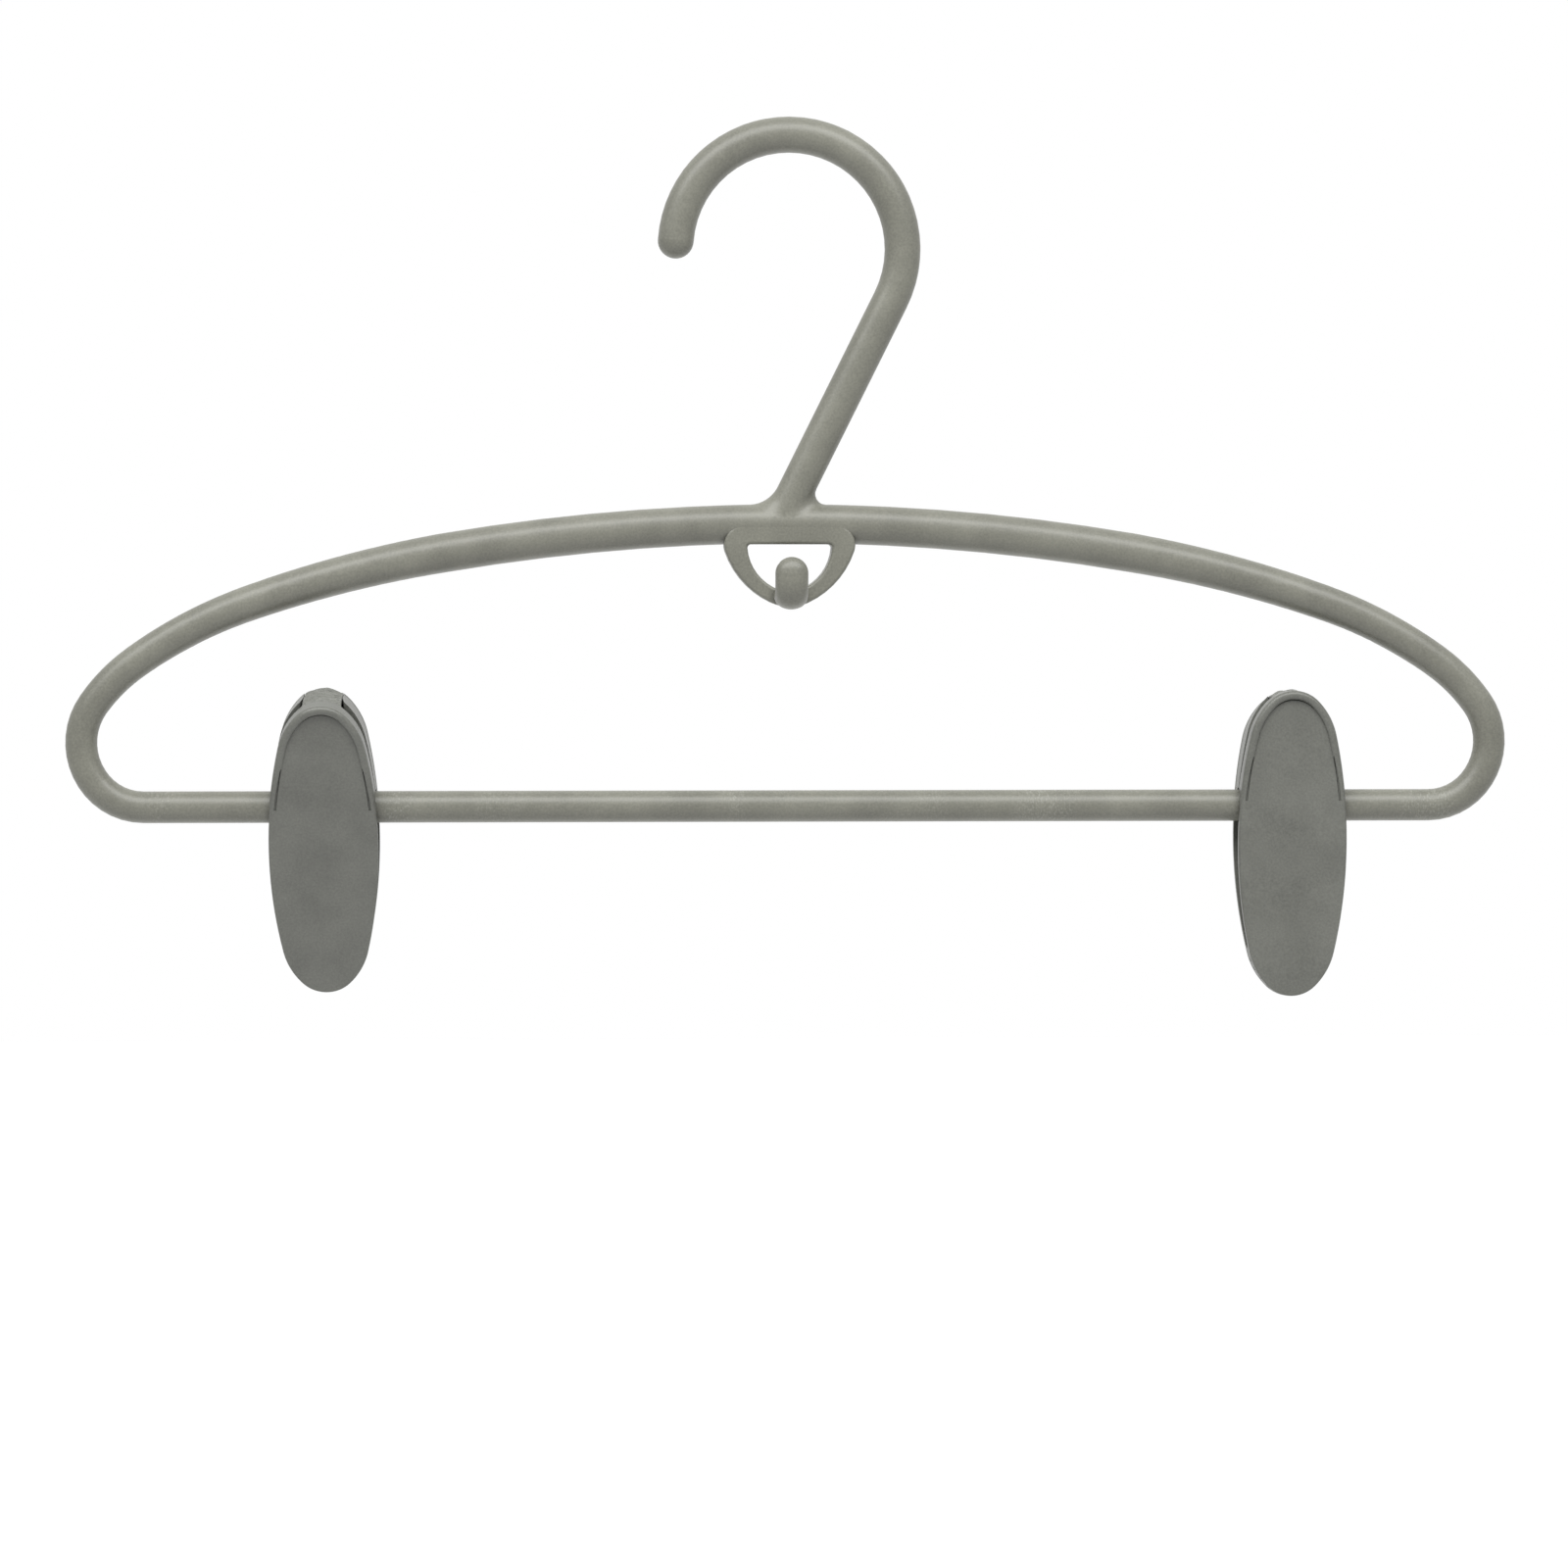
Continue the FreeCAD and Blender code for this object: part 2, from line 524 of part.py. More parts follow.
def link_hook(body):
    """Small hook that stands forward from the ring's foot, then up, with an oval rod."""
    profile = new_sketch(body, "LinkProfile", "XZ_Plane", "-dim.link_root_y")
    root = size("dim.link_root_z")
    square = Rotation(Vector(1, 0, 0), size("dim.link_slope"))
    profile.AttachmentOffset = Placement(Vector(0, root, -size("dim.link_root_y")), square)
    bind(profile, "AttachmentOffset.Base.y", "dim.link_root_z")
    wide = Vector(size("dim.link_width / 2"), 0, 0)
    high = Vector(0, size("dim.link_thickness / 2"), 0)
    oval = profile.addGeometry(Part.Ellipse(wide, high, Vector(0, 0, 0)), False)
    profile.exposeInternalGeometry(oval)
    fix_point(profile, oval, 3, "0", "0")
    profile.addConstraint(Sketcher.Constraint("Horizontal", oval + 1))
    fix(profile, "Distance", (oval + 1,), "dim.link_width")
    fix(profile, "Distance", (oval + 2,), "dim.link_thickness")
    path = new_sketch(body, "LinkPath", "YZ_Plane")
    radius = size("dim.link_bend_radius")
    upright = size("dim.link_upright_y")
    bend = (size("dim.link_bend_y"), size("dim.link_bend_z"))
    centre = (upright + radius, size("dim.link_leg_z") + radius)
    leg = add_line(path, (size("dim.link_root_y"), root), bend)
    arc = add_arc(path, centre, radius, 180, 270 + size("dim.link_slope"))
    rise = add_line(path, (upright, centre[1]), (upright, size("dim.link_tip_z")))
    path.addConstraint(Sketcher.Constraint("Coincident", leg, 2, arc, 2))
    path.addConstraint(Sketcher.Constraint("Coincident", arc, 1, rise, 1))
    fix_point(path, leg, 1, "dim.link_root_y", "dim.link_root_z")
    fix_point(path, arc, 3, "dim.link_upright_y + dim.link_bend_radius", "dim.link_leg_z + dim.link_bend_radius")
    fix_point(path, arc, 2, "dim.link_bend_y", "dim.link_bend_z")
    fix(path, "DistanceY", (-1, 1, arc, 1), "dim.link_leg_z + dim.link_bend_radius")
    fix_point(path, rise, 2, "dim.link_upright_y", "dim.link_tip_z")
    pipe(body, profile, path, "LinkRod")
    tip = body.newObject("PartDesign::AdditiveEllipsoid", "LinkTip")
    bind(tip, "Radius1", "dim.link_width / 2")
    bind(tip, "Radius2", "dim.link_width / 2")
    bind(tip, "Radius3", "dim.link_thickness / 2")
    tip.Angle1 = 0
    tip.Placement = Placement(Vector(0, upright, size("dim.link_tip_z")), Rotation())
    bind(tip, "Placement.Base.y", "dim.link_upright_y")
    bind(tip, "Placement.Base.z", "dim.link_tip_z")
    return finish(body, tip)


def blend_neck(body, name):
    """Frame with the neck's root blended into the crest, wide on the open side and tight on the other."""
    top = Vector(size("dim.neck_top_x"), 0, size("dim.neck_top_z"))
    foot = Vector(size("dim.neck_foot_x"), 0, -size("dim.crest_drop"))
    along = (top - foot).normalize()
    neck = size("dim.hook_rod_diameter / 2")
    crest = size("dim.crest_rod_diameter / 2")
    ring = Vector(0, 0, -size("dim.crest_drop") - size("dim.crest_radius"))

    def on_root(point):
        reach = point - foot
        from_neck = (reach - along * reach.dot(along)).Length
        from_crest = math.hypot(point.y, math.hypot(point.x, point.z - ring.z) - size("dim.crest_radius"))
        slack = SAME_PLACE_SHARE * neck
        return abs(from_neck - neck) < slack and abs(from_crest - crest) < slack

    def ends(edge):
        return [edge.valueAt(edge.ParameterRange[end]) for end in (0, 1)]

    root = [(i + 1, ends(edge)) for i, edge in enumerate(body.Shape.Edges)
            if not edge.Degenerated and all(on_root(point) for point in edge.discretize(5))]
    places = [point.x for number, points in root for point in points]
    wide = size("dim.neck_fillet_wide")
    narrowing = (size("dim.neck_fillet_tight") - wide) / (max(places) - min(places))
    fillet = doc.addObject("Part::Fillet", name)
    fillet.Label = name
    fillet.Base = body
    fillet.Edges = [(number, *(wide + narrowing * (point.x - min(places)) for point in points))
                    for number, points in root]
    doc.recompute()
    return fillet


# Clips


def oval_arcs(inset):
    """Arcs of a clip's outline drawn in by an inset, from the middle of its right side over the top to the left.

    Each is a radius as an expression, a centre, and the angles at which the arc starts and ends."""
    middle, reach = size("dim.oval_middle"), size("dim.flank_reach")
    side = size("dim.oval_side_radius - dim.clip_width / 2")
    across = size("dim.flank_across")
    lean = math.degrees(math.atan2(reach, side - across))
    turn = 90 - size("dim.clip_flank_angle")
    flank, rim = f"dim.clip_flank_radius - {inset}", f"dim.oval_side_radius - {inset}"
    return [
        (rim, (-side, middle), 0, lean),
        (flank, (-across, middle + reach), lean, turn),
        (f"dim.clip_end_radius - {inset}", (0, size("dim.oval_top_centre")), turn, 180 - turn),
        (flank, (across, middle + reach), 180 - turn, 180 - lean),
        (rim, (side, middle), 180 - lean, 180),
    ]


def add_oval(sketch):
    """Outline of a clip's face."""
    middle = size("dim.oval_middle")
    upper = oval_arcs("0")
    spans = [upper[0][:2] + (-upper[0][3], upper[0][3])] + upper[1:4]
    lower = [(radius, (-across, 2 * middle - up), start + 180, end + 180)
             for radius, (across, up), start, end in spans]
    arcs = [add_arc(sketch, centre, size(radius), start, end) for radius, centre, start, end in spans + lower]
    for i, (radius, *place) in enumerate(spans + lower):
        smooth(sketch, arcs[i], 2, arcs[(i + 1) % len(arcs)], 1)
        fix(sketch, "Radius", (arcs[i],), radius)
    fix_point(sketch, arcs[2], 3, "0", "dim.oval_top_centre")
    fix_point(sketch, arcs[6], 3, "0", "dim.oval_bottom_centre")
    for flank, sign in ((arcs[1], "-"), (arcs[3], ""), (arcs[5], ""), (arcs[7], "-")):
        fix(sketch, "DistanceX", (-1, 1, flank, 3), f"{sign}dim.flank_across")


def add_arch(sketch, inset, foot):
    """Upper part of the outline, drawn in by an inset, from its right foot over the top to its left foot."""
    spans = oval_arcs(inset)
    rise = math.degrees(math.asin((size(foot) - size("dim.oval_middle")) / size(spans[0][0])))
    spans[0] = spans[0][:2] + (rise, spans[0][3])
    spans[-1] = spans[-1][:3] + (180 - rise,)
    arcs = [add_arc(sketch, centre, size(radius), start, end) for radius, centre, start, end in spans]
    for first, second in zip(arcs, arcs[1:]):
        smooth(sketch, first, 2, second, 1)
    for arc, (radius, *place) in zip(arcs, spans):
        fix(sketch, "Radius", (arc,), radius)
    fix_point(sketch, arcs[2], 3, "0", "dim.oval_top_centre")
    for flank, sign in ((arcs[1], "-"), (arcs[3], "")):
        fix(sketch, "DistanceX", (-1, 1, flank, 3), f"{sign}dim.flank_across")
    for arc, end in ((arcs[0], 1), (arcs[-1], 2)):
        fix(sketch, "DistanceY", (-1, 1, arc, 3), "dim.oval_middle")
        fix(sketch, "DistanceY", (-1, 1, arc, end), foot)
    return arcs[0], arcs[-1]


def end_point(sketch, geometry, end):
    point = sketch.getPoint(geometry, end)
    return point.x, point.y


def add_sector(sketch, inner, outer, start, end):
    """Part of a round ring about the sketch's origin, between two angles given as expressions."""
    angles = (size(start), size(end))
    arcs = [add_arc(sketch, (0, 0), size(radius), *angles) for radius in (inner, outer)]
    for arc, radius in zip(arcs, (inner, outer)):
        fix(sketch, "Radius", (arc,), radius)
        fix_point(sketch, arc, 3, "0", "0")
        for corner, angle in ((1, start), (2, end)):
            fix(sketch, "DistanceX", (-1, 1, arc, corner), f"({radius}) * cos({angle})")
    for corner in (1, 2):
        side = add_line(sketch, end_point(sketch, arcs[0], corner), end_point(sketch, arcs[1], corner))
        sketch.addConstraint(Sketcher.Constraint("Coincident", side, 1, arcs[0], corner))
        sketch.addConstraint(Sketcher.Constraint("Coincident", side, 2, arcs[1], corner))


def jaw_blank(body, side):
    """Oval block as deep as the jaw, its face edge softened, trimmed to plate, grip and upper walls."""
    outline = new_sketch(body, "Face", "XZ_Plane", f"{-side} * dim.face_distance")
    add_oval(outline)
    block = pad(body, outline, "Block", "dim.jaw_pad_depth", reverse=side < 0)
    face = side * size("dim.face_distance")

    def on_face(edge):
        off = abs(edge.BoundBox.YMin - face) + abs(edge.BoundBox.YMax - face)
        return off < SAME_PLACE_SHARE * abs(face)

    round_edges(body, block, "FaceEdge", "dim.face_edge_radius", on_face)
    trim = new_sketch(body, "InnerSide", "YZ_Plane")
    slope = "dim.back_edge_slope" if side > 0 else "dim.front_edge_slope"
    grip_out = "(dim.grip_clearance - dim.middle_slope * dim.grip_top)"
    profile = [
        ("dim.grip_clearance - dim.middle_slope * dim.clip_low", "dim.clip_low"),
        (grip_out, "dim.grip_top"),
        ("dim.plate_inside", f"dim.grip_top + dim.plate_inside - {grip_out}"),
        ("dim.plate_inside", "0"),
        ("0", "0"),
        (f"-{slope} * dim.clip_high", "dim.clip_high"),
        ("-dim.jaw_pad_depth", "dim.clip_high"),
        ("-dim.jaw_pad_depth", "dim.clip_low"),
    ]
    add_polygon(trim, [(f"{side} * ({out})", up) for out, up in profile])
    cut_through(body, trim, "Trim")


def hollow_jaw(body, side):
    """Space between the upper walls."""
    before = body.Shape.Volume
    inside = new_sketch(body, "Inside", "XZ_Plane", f"{-side} * dim.plate_inside")
    right, left = add_arch(inside, "dim.wall_thickness", "-dim.bar_radius")
    sill = add_line(inside, end_point(inside, left, 2), end_point(inside, right, 1))
    join(inside, left, sill)
    join(inside, sill, right)
    hollow = body.newObject("PartDesign::Pocket", "Hollow")
    hollow.Profile = inside
    hollow.Type = "ThroughAll"
    hollow.Reversed = side > 0
    finish(body, hollow)
    if body.Shape.Volume >= before:
        raise RuntimeError(f"{body.Label}: hollow cut nothing")


def grip_grooves(body, side):
    """Grooves across the grip, which leave ribs that hold the cloth."""
    grooves = new_sketch(body, "GripGrooves", "YZ_Plane")
    count = int(size("(dim.grip_height - dim.grip_rib_pitch) / dim.grip_rib_pitch"))
    for i in range(count):
        up = f"dim.clip_bottom + {i + 1} * dim.grip_rib_pitch"
        lip = f"-dim.middle_slope * ({up})"
        corners = [
            (lip, f"{up} - dim.grip_groove_half"),
            (lip, f"{up} + dim.grip_groove_half"),
            (f"{lip} + dim.grip_rib_depth", up),
        ]
        add_polygon(grooves, [(f"{side} * ({out})", height) for out, height in corners])
    cut_through(body, grooves, "Grooves")


def liner_wall(body, side):
    """Inner wall of the back jaw, which slips inside the front jaw's walls."""
    band = new_sketch(body, "LinerBand", "XZ_Plane", f"{-side} * (dim.plate_inside + dim.root_depth)")
    feet = [add_arch(band, inset, "dim.liner_foot") for inset in ("dim.liner_outset", "dim.liner_inset")]
    for corner, end in ((0, 1), (1, 2)):
        outer, inner = feet[0][corner], feet[1][corner]
        foot = add_line(band, end_point(band, outer, end), end_point(band, inner, end))
        band.addConstraint(Sketcher.Constraint("Coincident", foot, 1, outer, end))
        band.addConstraint(Sketcher.Constraint("Coincident", foot, 2, inner, end))
    pad(body, band, "Liner", "dim.liner_reach + dim.plate_thickness", reverse=side < 0)
    trim = new_sketch(body, "LinerEdge", "YZ_Plane")
    profile = [
        ("-dim.liner_overlap", "0"),
        ("-dim.liner_overlap - dim.liner_slope * dim.clip_high", "dim.clip_high"),
        ("-2 * dim.liner_reach", "dim.clip_high"),
        ("-2 * dim.liner_reach", "0"),
    ]
    add_polygon(trim, [(f"{side} * ({out})", up) for out, up in profile])
    cut_through(body, trim, "LinerTrim")
    before = body.Shape.Volume
    notch = new_sketch(body, "LinerNotch", "XY_Plane", "dim.clip_high")
    back = "0"
    add_polygon(notch, [
        ("-dim.strap_slot_half", back),
        ("dim.strap_slot_half", back),
        ("dim.liner_notch_half", f"-{side} * dim.liner_reach"),
        ("-dim.liner_notch_half", f"-{side} * dim.liner_reach"),
    ])
    gap = body.newObject("PartDesign::Pocket", "LinerGap")
    gap.Profile = notch
    bind(gap, "Length", "dim.clip_high - dim.clip_top + dim.liner_notch_depth")
    finish(body, gap)
    if body.Shape.Volume >= before:
        raise RuntimeError(f"{body.Label}: liner notch cut nothing")


def bead(body, side):
    """Round bead along the upper half of the face's edge, sinking into the face toward the bar."""
    lean = math.degrees(math.atan(size("dim.bead_drop")))
    path = new_sketch(body, "BeadPath", "XZ_Plane", f"{-side} * dim.bead_plane")
    path.AttachmentOffset = Placement(path.AttachmentOffset.Base, Rotation(Vector(1, 0, 0), -side * lean))
    add_arch(path, "dim.bead_inset", "dim.bead_end_height")
    profile = sketch_across(body, "BeadProfile", path, "dim.clip_width / 2", "dim.bead_end_height")
    add_circle(profile, "0", "0", "dim.bead_radius")
    pipe(body, profile, path, "Bead")


def rim_groove(body, side):
    """Fine groove in the face along the bead's inner side, closer to the edge as it nears the bar."""
    before = body.Shape.Volume
    path = new_sketch(body, "GroovePath", "XZ_Plane", f"{-side} * dim.face_distance")
    place = path.AttachmentOffset.Base - Vector(0, size("dim.groove_shift"), 0)
    path.AttachmentOffset = Placement(place, Rotation())
    bind(path, "AttachmentOffset.Base.y", "-dim.groove_shift")
    add_arch(path, "dim.groove_inset", "dim.bead_end_height")
    profile = sketch_across(body, "GrooveProfile", path, "dim.clip_width / 2", "dim.bead_end_height")
    add_circle(profile, "0", "0", "dim.groove_radius")
    groove = body.newObject("PartDesign::SubtractivePipe", "RimGroove")
    groove.Profile = profile
    groove.Spine = (path, [f"Edge{i + 1}" for i in range(path.GeometryCount)])
    finish(body, groove)
    if body.Shape.Volume >= before:
        raise RuntimeError(f"{body.Label}: rim groove cut nothing")


def strap_slot(body):
    """Slot over the top of the back jaw, in which the strap lies."""
    slot = new_sketch(body, "StrapSlot", "XZ_Plane")
    radius, half = size("dim.strap_slot_radius"), size("dim.strap_slot_half")
    centre, high = size("dim.oval_top_centre"), size("dim.clip_high")
    start = math.degrees(math.acos(half / radius))
    floor = add_arc(slot, (0, centre), radius, start, 180 - start)
    fix(slot, "Radius", (floor,), "dim.strap_slot_radius")
    fix_point(slot, floor, 3, "0", "dim.oval_top_centre")
    low = end_point(slot, floor, 1)[1]
    left = add_line(slot, (-half, low), (-half, high))
    top = add_line(slot, (-half, high), (half, high))
    right = add_line(slot, (half, high), (half, low))
    join(slot, floor, left)
    join(slot, left, top)
    join(slot, top, right)
    join(slot, right, floor)
    for line, kind in ((left, "Vertical"), (right, "Vertical"), (top, "Horizontal")):
        slot.addConstraint(Sketcher.Constraint(kind, line))
    fix_point(slot, top, 1, "-dim.strap_slot_half", "dim.clip_high")
    fix(slot, "DistanceX", (-1, 1, top, 2), "dim.strap_slot_half")
    cut_through(body, slot, "Slot")


def knuckles(body, side, place):
    """Two hooks that snap round the sleeve."""
    out = 180 if side < 0 else 0
    for sign in (-1, 1):
        hook = new_sketch(body, "Knuckle", "YZ_Plane", f"{sign} * {place} - dim.knuckle_width / 2")
        add_sector(hook, "dim.knuckle_inside", "dim.knuckle_outside",
                   f"{out} - dim.knuckle_wrap", f"{out} + dim.knuckle_wrap")
        pad(body, hook, "KnuckleHook", "dim.knuckle_width")


def spigot(body, side):
    """Peg that holds one end of the spring."""
    seat = new_sketch(body, "SpigotSeat", "XZ_Plane", f"{-side} * (dim.plate_inside + dim.root_depth)")
    add_circle(seat, "0", "dim.spigot_z", "dim.spigot_radius")
    pad(body, seat, "Spigot", "dim.spigot_height + dim.root_depth", reverse=side < 0)


def jaw(clip, name, side):
    """Front jaw (side -1) or back jaw (side 1) of a clip, drawn about the bar and turned to its place."""
    body = new_body(f"{clip}_{name}_jaw")
    jaw_blank(body, side)
    hollow_jaw(body, side)
    grip_grooves(body, side)
    if side > 0:
        liner_wall(body, side)
    notch = new_sketch(body, "BarNotch", "YZ_Plane")
    add_circle(notch, "0", "0", "dim.bar_radius + dim.bar_notch_clearance")
    cut_through(body, notch, "Notch")
    bead(body, side)
    rim_groove(body, side)
    if side > 0:
        strap_slot(body)
    knuckles(body, side, f"dim.{name}_knuckle_place")
    spigot(body, side)
    return put_on_bar(body, clip, f"dim.{clip}_clip_tilt - {side} * dim.wedge_angle")


def put_on_bar(piece, clip, turn):
    """Moves a piece drawn about the bar to its clip's place, turned about the bar."""
    place = Vector(size(f"dim.{clip}_clip_place"), 0, size("dim.bar_z"))
    piece.Placement = Placement(place, Rotation(Vector(1, 0, 0), size(turn)))
    bind(piece, "Placement.Base.x", f"dim.{clip}_clip_place")
    bind(piece, "Placement.Base.z", "dim.bar_z")
    doc.recompute()
    return piece


def sleeve(clip):
    """Split sleeve that rides on the bar."""
    body = new_body(f"{clip}_bar_sleeve")
    ring = new_sketch(body, "Ring", "YZ_Plane")
    add_sector(ring, "dim.sleeve_inside", "dim.sleeve_outside",
               "dim.sleeve_mouth / 2 - 90", "270 - dim.sleeve_mouth / 2")
    pad(body, ring, "Tube", "dim.sleeve_length", symmetric=True)
    return put_on_bar(body, clip, "0")


def strap(clip):
    """Strap over the top that ties the jaws, swept both ways from its crown, cut at the front jaw's wall."""
    body = new_body(f"{clip}_top_strap")
    section = new_sketch(body, "StrapSection", "XZ_Plane")
    half, centre = size("dim.strap_width / 2"), size("dim.strap_top - dim.clip_end_radius")
    arcs = []
    for radius in ("dim.clip_end_radius", "dim.clip_end_radius - dim.strap_thickness"):
        start = math.degrees(math.acos(half / size(radius)))
        arcs.append(add_arc(section, (0, centre), size(radius), start, 180 - start))
        fix(section, "Radius", (arcs[-1],), radius)
        fix_point(section, arcs[-1], 3, "0", "dim.strap_top - dim.clip_end_radius")
        for end, sign in ((1, ""), (2, "-")):
            fix(section, "DistanceX", (-1, 1, arcs[-1], end), f"{sign}dim.strap_width / 2")
    for end in (1, 2):
        side = add_line(section, end_point(section, arcs[0], end), end_point(section, arcs[1], end))
        section.addConstraint(Sketcher.Constraint("Coincident", side, 1, arcs[0], end))
        section.addConstraint(Sketcher.Constraint("Coincident", side, 2, arcs[1], end))
    radius, turn = size("dim.strap_bend_radius"), size("dim.wedge_angle")
    for name, sign in (("front", -1), ("back", 1)):
        path = new_sketch(body, f"{name.capitalize()}Path", "YZ_Plane")
        span = (90 - turn, 90) if sign > 0 else (90, 90 + turn)
        bend = add_arc(path, (0, size("dim.strap_top") - radius), radius, *span)
        crown, low = (2, 1) if sign > 0 else (1, 2)
        end_place = [size(f"dim.strap_{name}_{axis}") for axis in ("y", "z")]
        fall = add_line(path, end_point(path, bend, low), end_place)
        path.addConstraint(Sketcher.Constraint("Coincident", bend, low, fall, 1))
        fix_point(path, bend, 3, "0", "dim.strap_top - dim.strap_bend_radius")
        fix_point(path, bend, crown, "0", "dim.strap_top")
        fix(path, "DistanceX", (-1, 1, bend, low), f"{sign} * dim.strap_bend_reach")
        fix_point(path, fall, 2, f"dim.strap_{name}_y", f"dim.strap_{name}_z")
        pipe(body, section, path, f"Strap{name.capitalize()}")
    seam = new_sketch(body, "StrapSeam", "YZ_Plane")
    corners = [(f"dim.strap_seat_gap - dim.strap_seam_slope * {height}", height)
               for height in ("dim.oval_top_centre", "dim.clip_high")]
    corners += [("-dim.clip_width", "dim.clip_high"), ("-dim.clip_width", "dim.oval_top_centre")]
    add_polygon(seam, corners)
    cut_through(body, seam, "SeamEnd")
    return put_on_bar(body, clip, f"dim.{clip}_clip_tilt")


def tangent_arc(start, corner, end):
    """Arc from start to end whose end tangents meet at the corner."""
    middle = (start + end) / 2
    half = (end - start).Length / 2
    lean = math.acos(half / (corner - start).Length)
    crown = middle + (corner - middle).normalize() * half * math.tan(lean / 2)
    return Part.Arc(start, crown, end).toShape()


def quarter_turn(first, last):
    """Two tangent arcs between two points of the coil with their directions."""
    start, start_way = first
    end, end_way = last
    chord = end - start
    square = 2 * (1 - start_way.dot(end_way))
    linear = 2 * chord.dot(start_way + end_way)
    reach = (math.sqrt(linear ** 2 + 4 * square * chord.dot(chord)) - linear) / (2 * square)
    corners = (start + start_way * reach, end - end_way * reach)
    middle = (corners[0] + corners[1]) / 2
    return [tangent_arc(start, corners[0], middle), tangent_arc(middle, corners[1], end)]


def spring(clip):
    """Coil between the finger ends, one unbroken wire along Y."""
    radius, wire = size("dim.spring_mean_radius"), size("dim.spring_wire")
    length = size("2 * dim.spring_half_length - dim.spring_wire")
    turns = size("dim.spring_turns")
    rise = length / (2 * math.pi * turns)
    height = size("dim.spring_height")

    def coil(turn):
        angle = 2 * math.pi * turn
        place = Vector(radius * math.cos(angle), turn * length / turns - length / 2, height + radius * math.sin(angle))
        way = Vector(-radius * math.sin(angle), rise, radius * math.cos(angle))
        return place, way.normalize()

    stops = [coil(i / 4) for i in range(int(4 * turns) + 1)]
    spine = Part.Wire([arc for pair in zip(stops, stops[1:]) for arc in quarter_turn(*pair)])
    section = Part.Wire(Part.makeCircle(wire / 2, *stops[0]))
    piece = doc.addObject("Part::Feature", f"{clip}_clip_spring")
    piece.Label = f"{clip}_clip_spring"
    piece.Shape = spine.makePipeShell([section], True, False)
    line = [coil(i / POINTS_PER_TURN)[0] for i in range(int(turns * POINTS_PER_TURN) + 1)]
    apart = POINTS_PER_TURN // 2
    gap = min(a.distanceToPoint(b) for i, a in enumerate(line) for b in line[i + apart:]) - wire
    print(f"{piece.Label}: least gap between turns {gap:.2f} mm")
    return put_on_bar(piece, clip, f"dim.{clip}_clip_tilt")


frame_body = new_body("frame_moulding")
ring_plate(frame_body)
crest_rod(frame_body)
mirror(frame_body, shoulder_rod(frame_body), "OtherShoulder")
end_and_bar_rod(frame_body)
rail_hook(frame_body)
link_hook(frame_body)
nodes = [blend_neck(frame_body, "hanger_frame")]
for clip in ("left", "right"):
    nodes.append(sleeve(clip))
    nodes.append(jaw(clip, "back", 1))
    nodes.append(jaw(clip, "front", -1))
    nodes.append(strap(clip))
    nodes.append(spring(clip))

doc.recompute()
for item in doc.Objects:
    if "Invalid" in item.State or "Error" in item.State:
        raise RuntimeError(f"{item.Name}: {item.getStatusString()}")
os.makedirs("parts", exist_ok=True)
for node in nodes:
    if node.Shape.isNull() or not node.Shape.isValid() or len(node.Shape.Solids) != 1:
        raise RuntimeError(f"{node.Label}: bad shape")
    node.Shape.exportStep(f"parts/{node.Label}.step")
    print(f"{node.Label}: {node.Shape.Volume:.1f} cubic millimetres")
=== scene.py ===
import bpy
import json
import math
from mathutils import Matrix, Vector, noise


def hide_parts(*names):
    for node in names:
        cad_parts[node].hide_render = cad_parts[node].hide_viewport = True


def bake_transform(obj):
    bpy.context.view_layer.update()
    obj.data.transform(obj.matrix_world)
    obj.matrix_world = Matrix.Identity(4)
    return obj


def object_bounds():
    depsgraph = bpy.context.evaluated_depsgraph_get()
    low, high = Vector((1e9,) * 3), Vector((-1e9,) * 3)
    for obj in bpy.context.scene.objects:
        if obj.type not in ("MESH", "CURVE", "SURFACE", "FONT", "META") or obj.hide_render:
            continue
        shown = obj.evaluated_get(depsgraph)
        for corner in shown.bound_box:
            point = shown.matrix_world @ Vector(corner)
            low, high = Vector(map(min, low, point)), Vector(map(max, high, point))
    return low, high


# Skirt hanger: looks of the moulded frame and clips, the creased straps and the coil springs.
# Lengths in metres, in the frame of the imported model: X along the bar, Z up, viewer on the -Y side.

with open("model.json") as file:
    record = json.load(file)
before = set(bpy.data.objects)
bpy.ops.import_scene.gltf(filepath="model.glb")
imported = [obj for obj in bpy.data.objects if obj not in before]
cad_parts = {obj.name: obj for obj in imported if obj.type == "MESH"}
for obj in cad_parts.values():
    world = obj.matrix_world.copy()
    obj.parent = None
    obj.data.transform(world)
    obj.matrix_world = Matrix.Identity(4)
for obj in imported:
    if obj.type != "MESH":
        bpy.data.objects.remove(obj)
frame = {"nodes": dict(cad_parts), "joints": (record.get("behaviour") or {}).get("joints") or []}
cad_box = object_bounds()
joints = {joint["name"]: joint for joint in frame["joints"]}
MM = 0.001

# View: the eye is a little left of the hook and above the bar
EYE = Vector((-0.043, -1.05, -0.087))
AIM = Vector((-0.0011, 0, -0.1353))
VIEW_WIDTH = 0.3377
SENSOR_WIDTH = 36

# Light
BOX_LENGTH = 2.2
KEY_PLACE = Vector((-0.1, -0.62, 0.76))
KEY_WIDTH = 0.6
KEY_POWER = 22
FILL_PLACE = Vector((0, 1.3, 0.75))
FILL_WIDTH = 0.9
FILL_POWER = 11
AMBIENT = 0.315
FLOOR_DROP = 0.6
FLOOR_SPAN = 12
FLOOR_GREY = 0.86
FLOOR_ROUGHNESS = 0.9
FLOOR_GLOW = 0.72

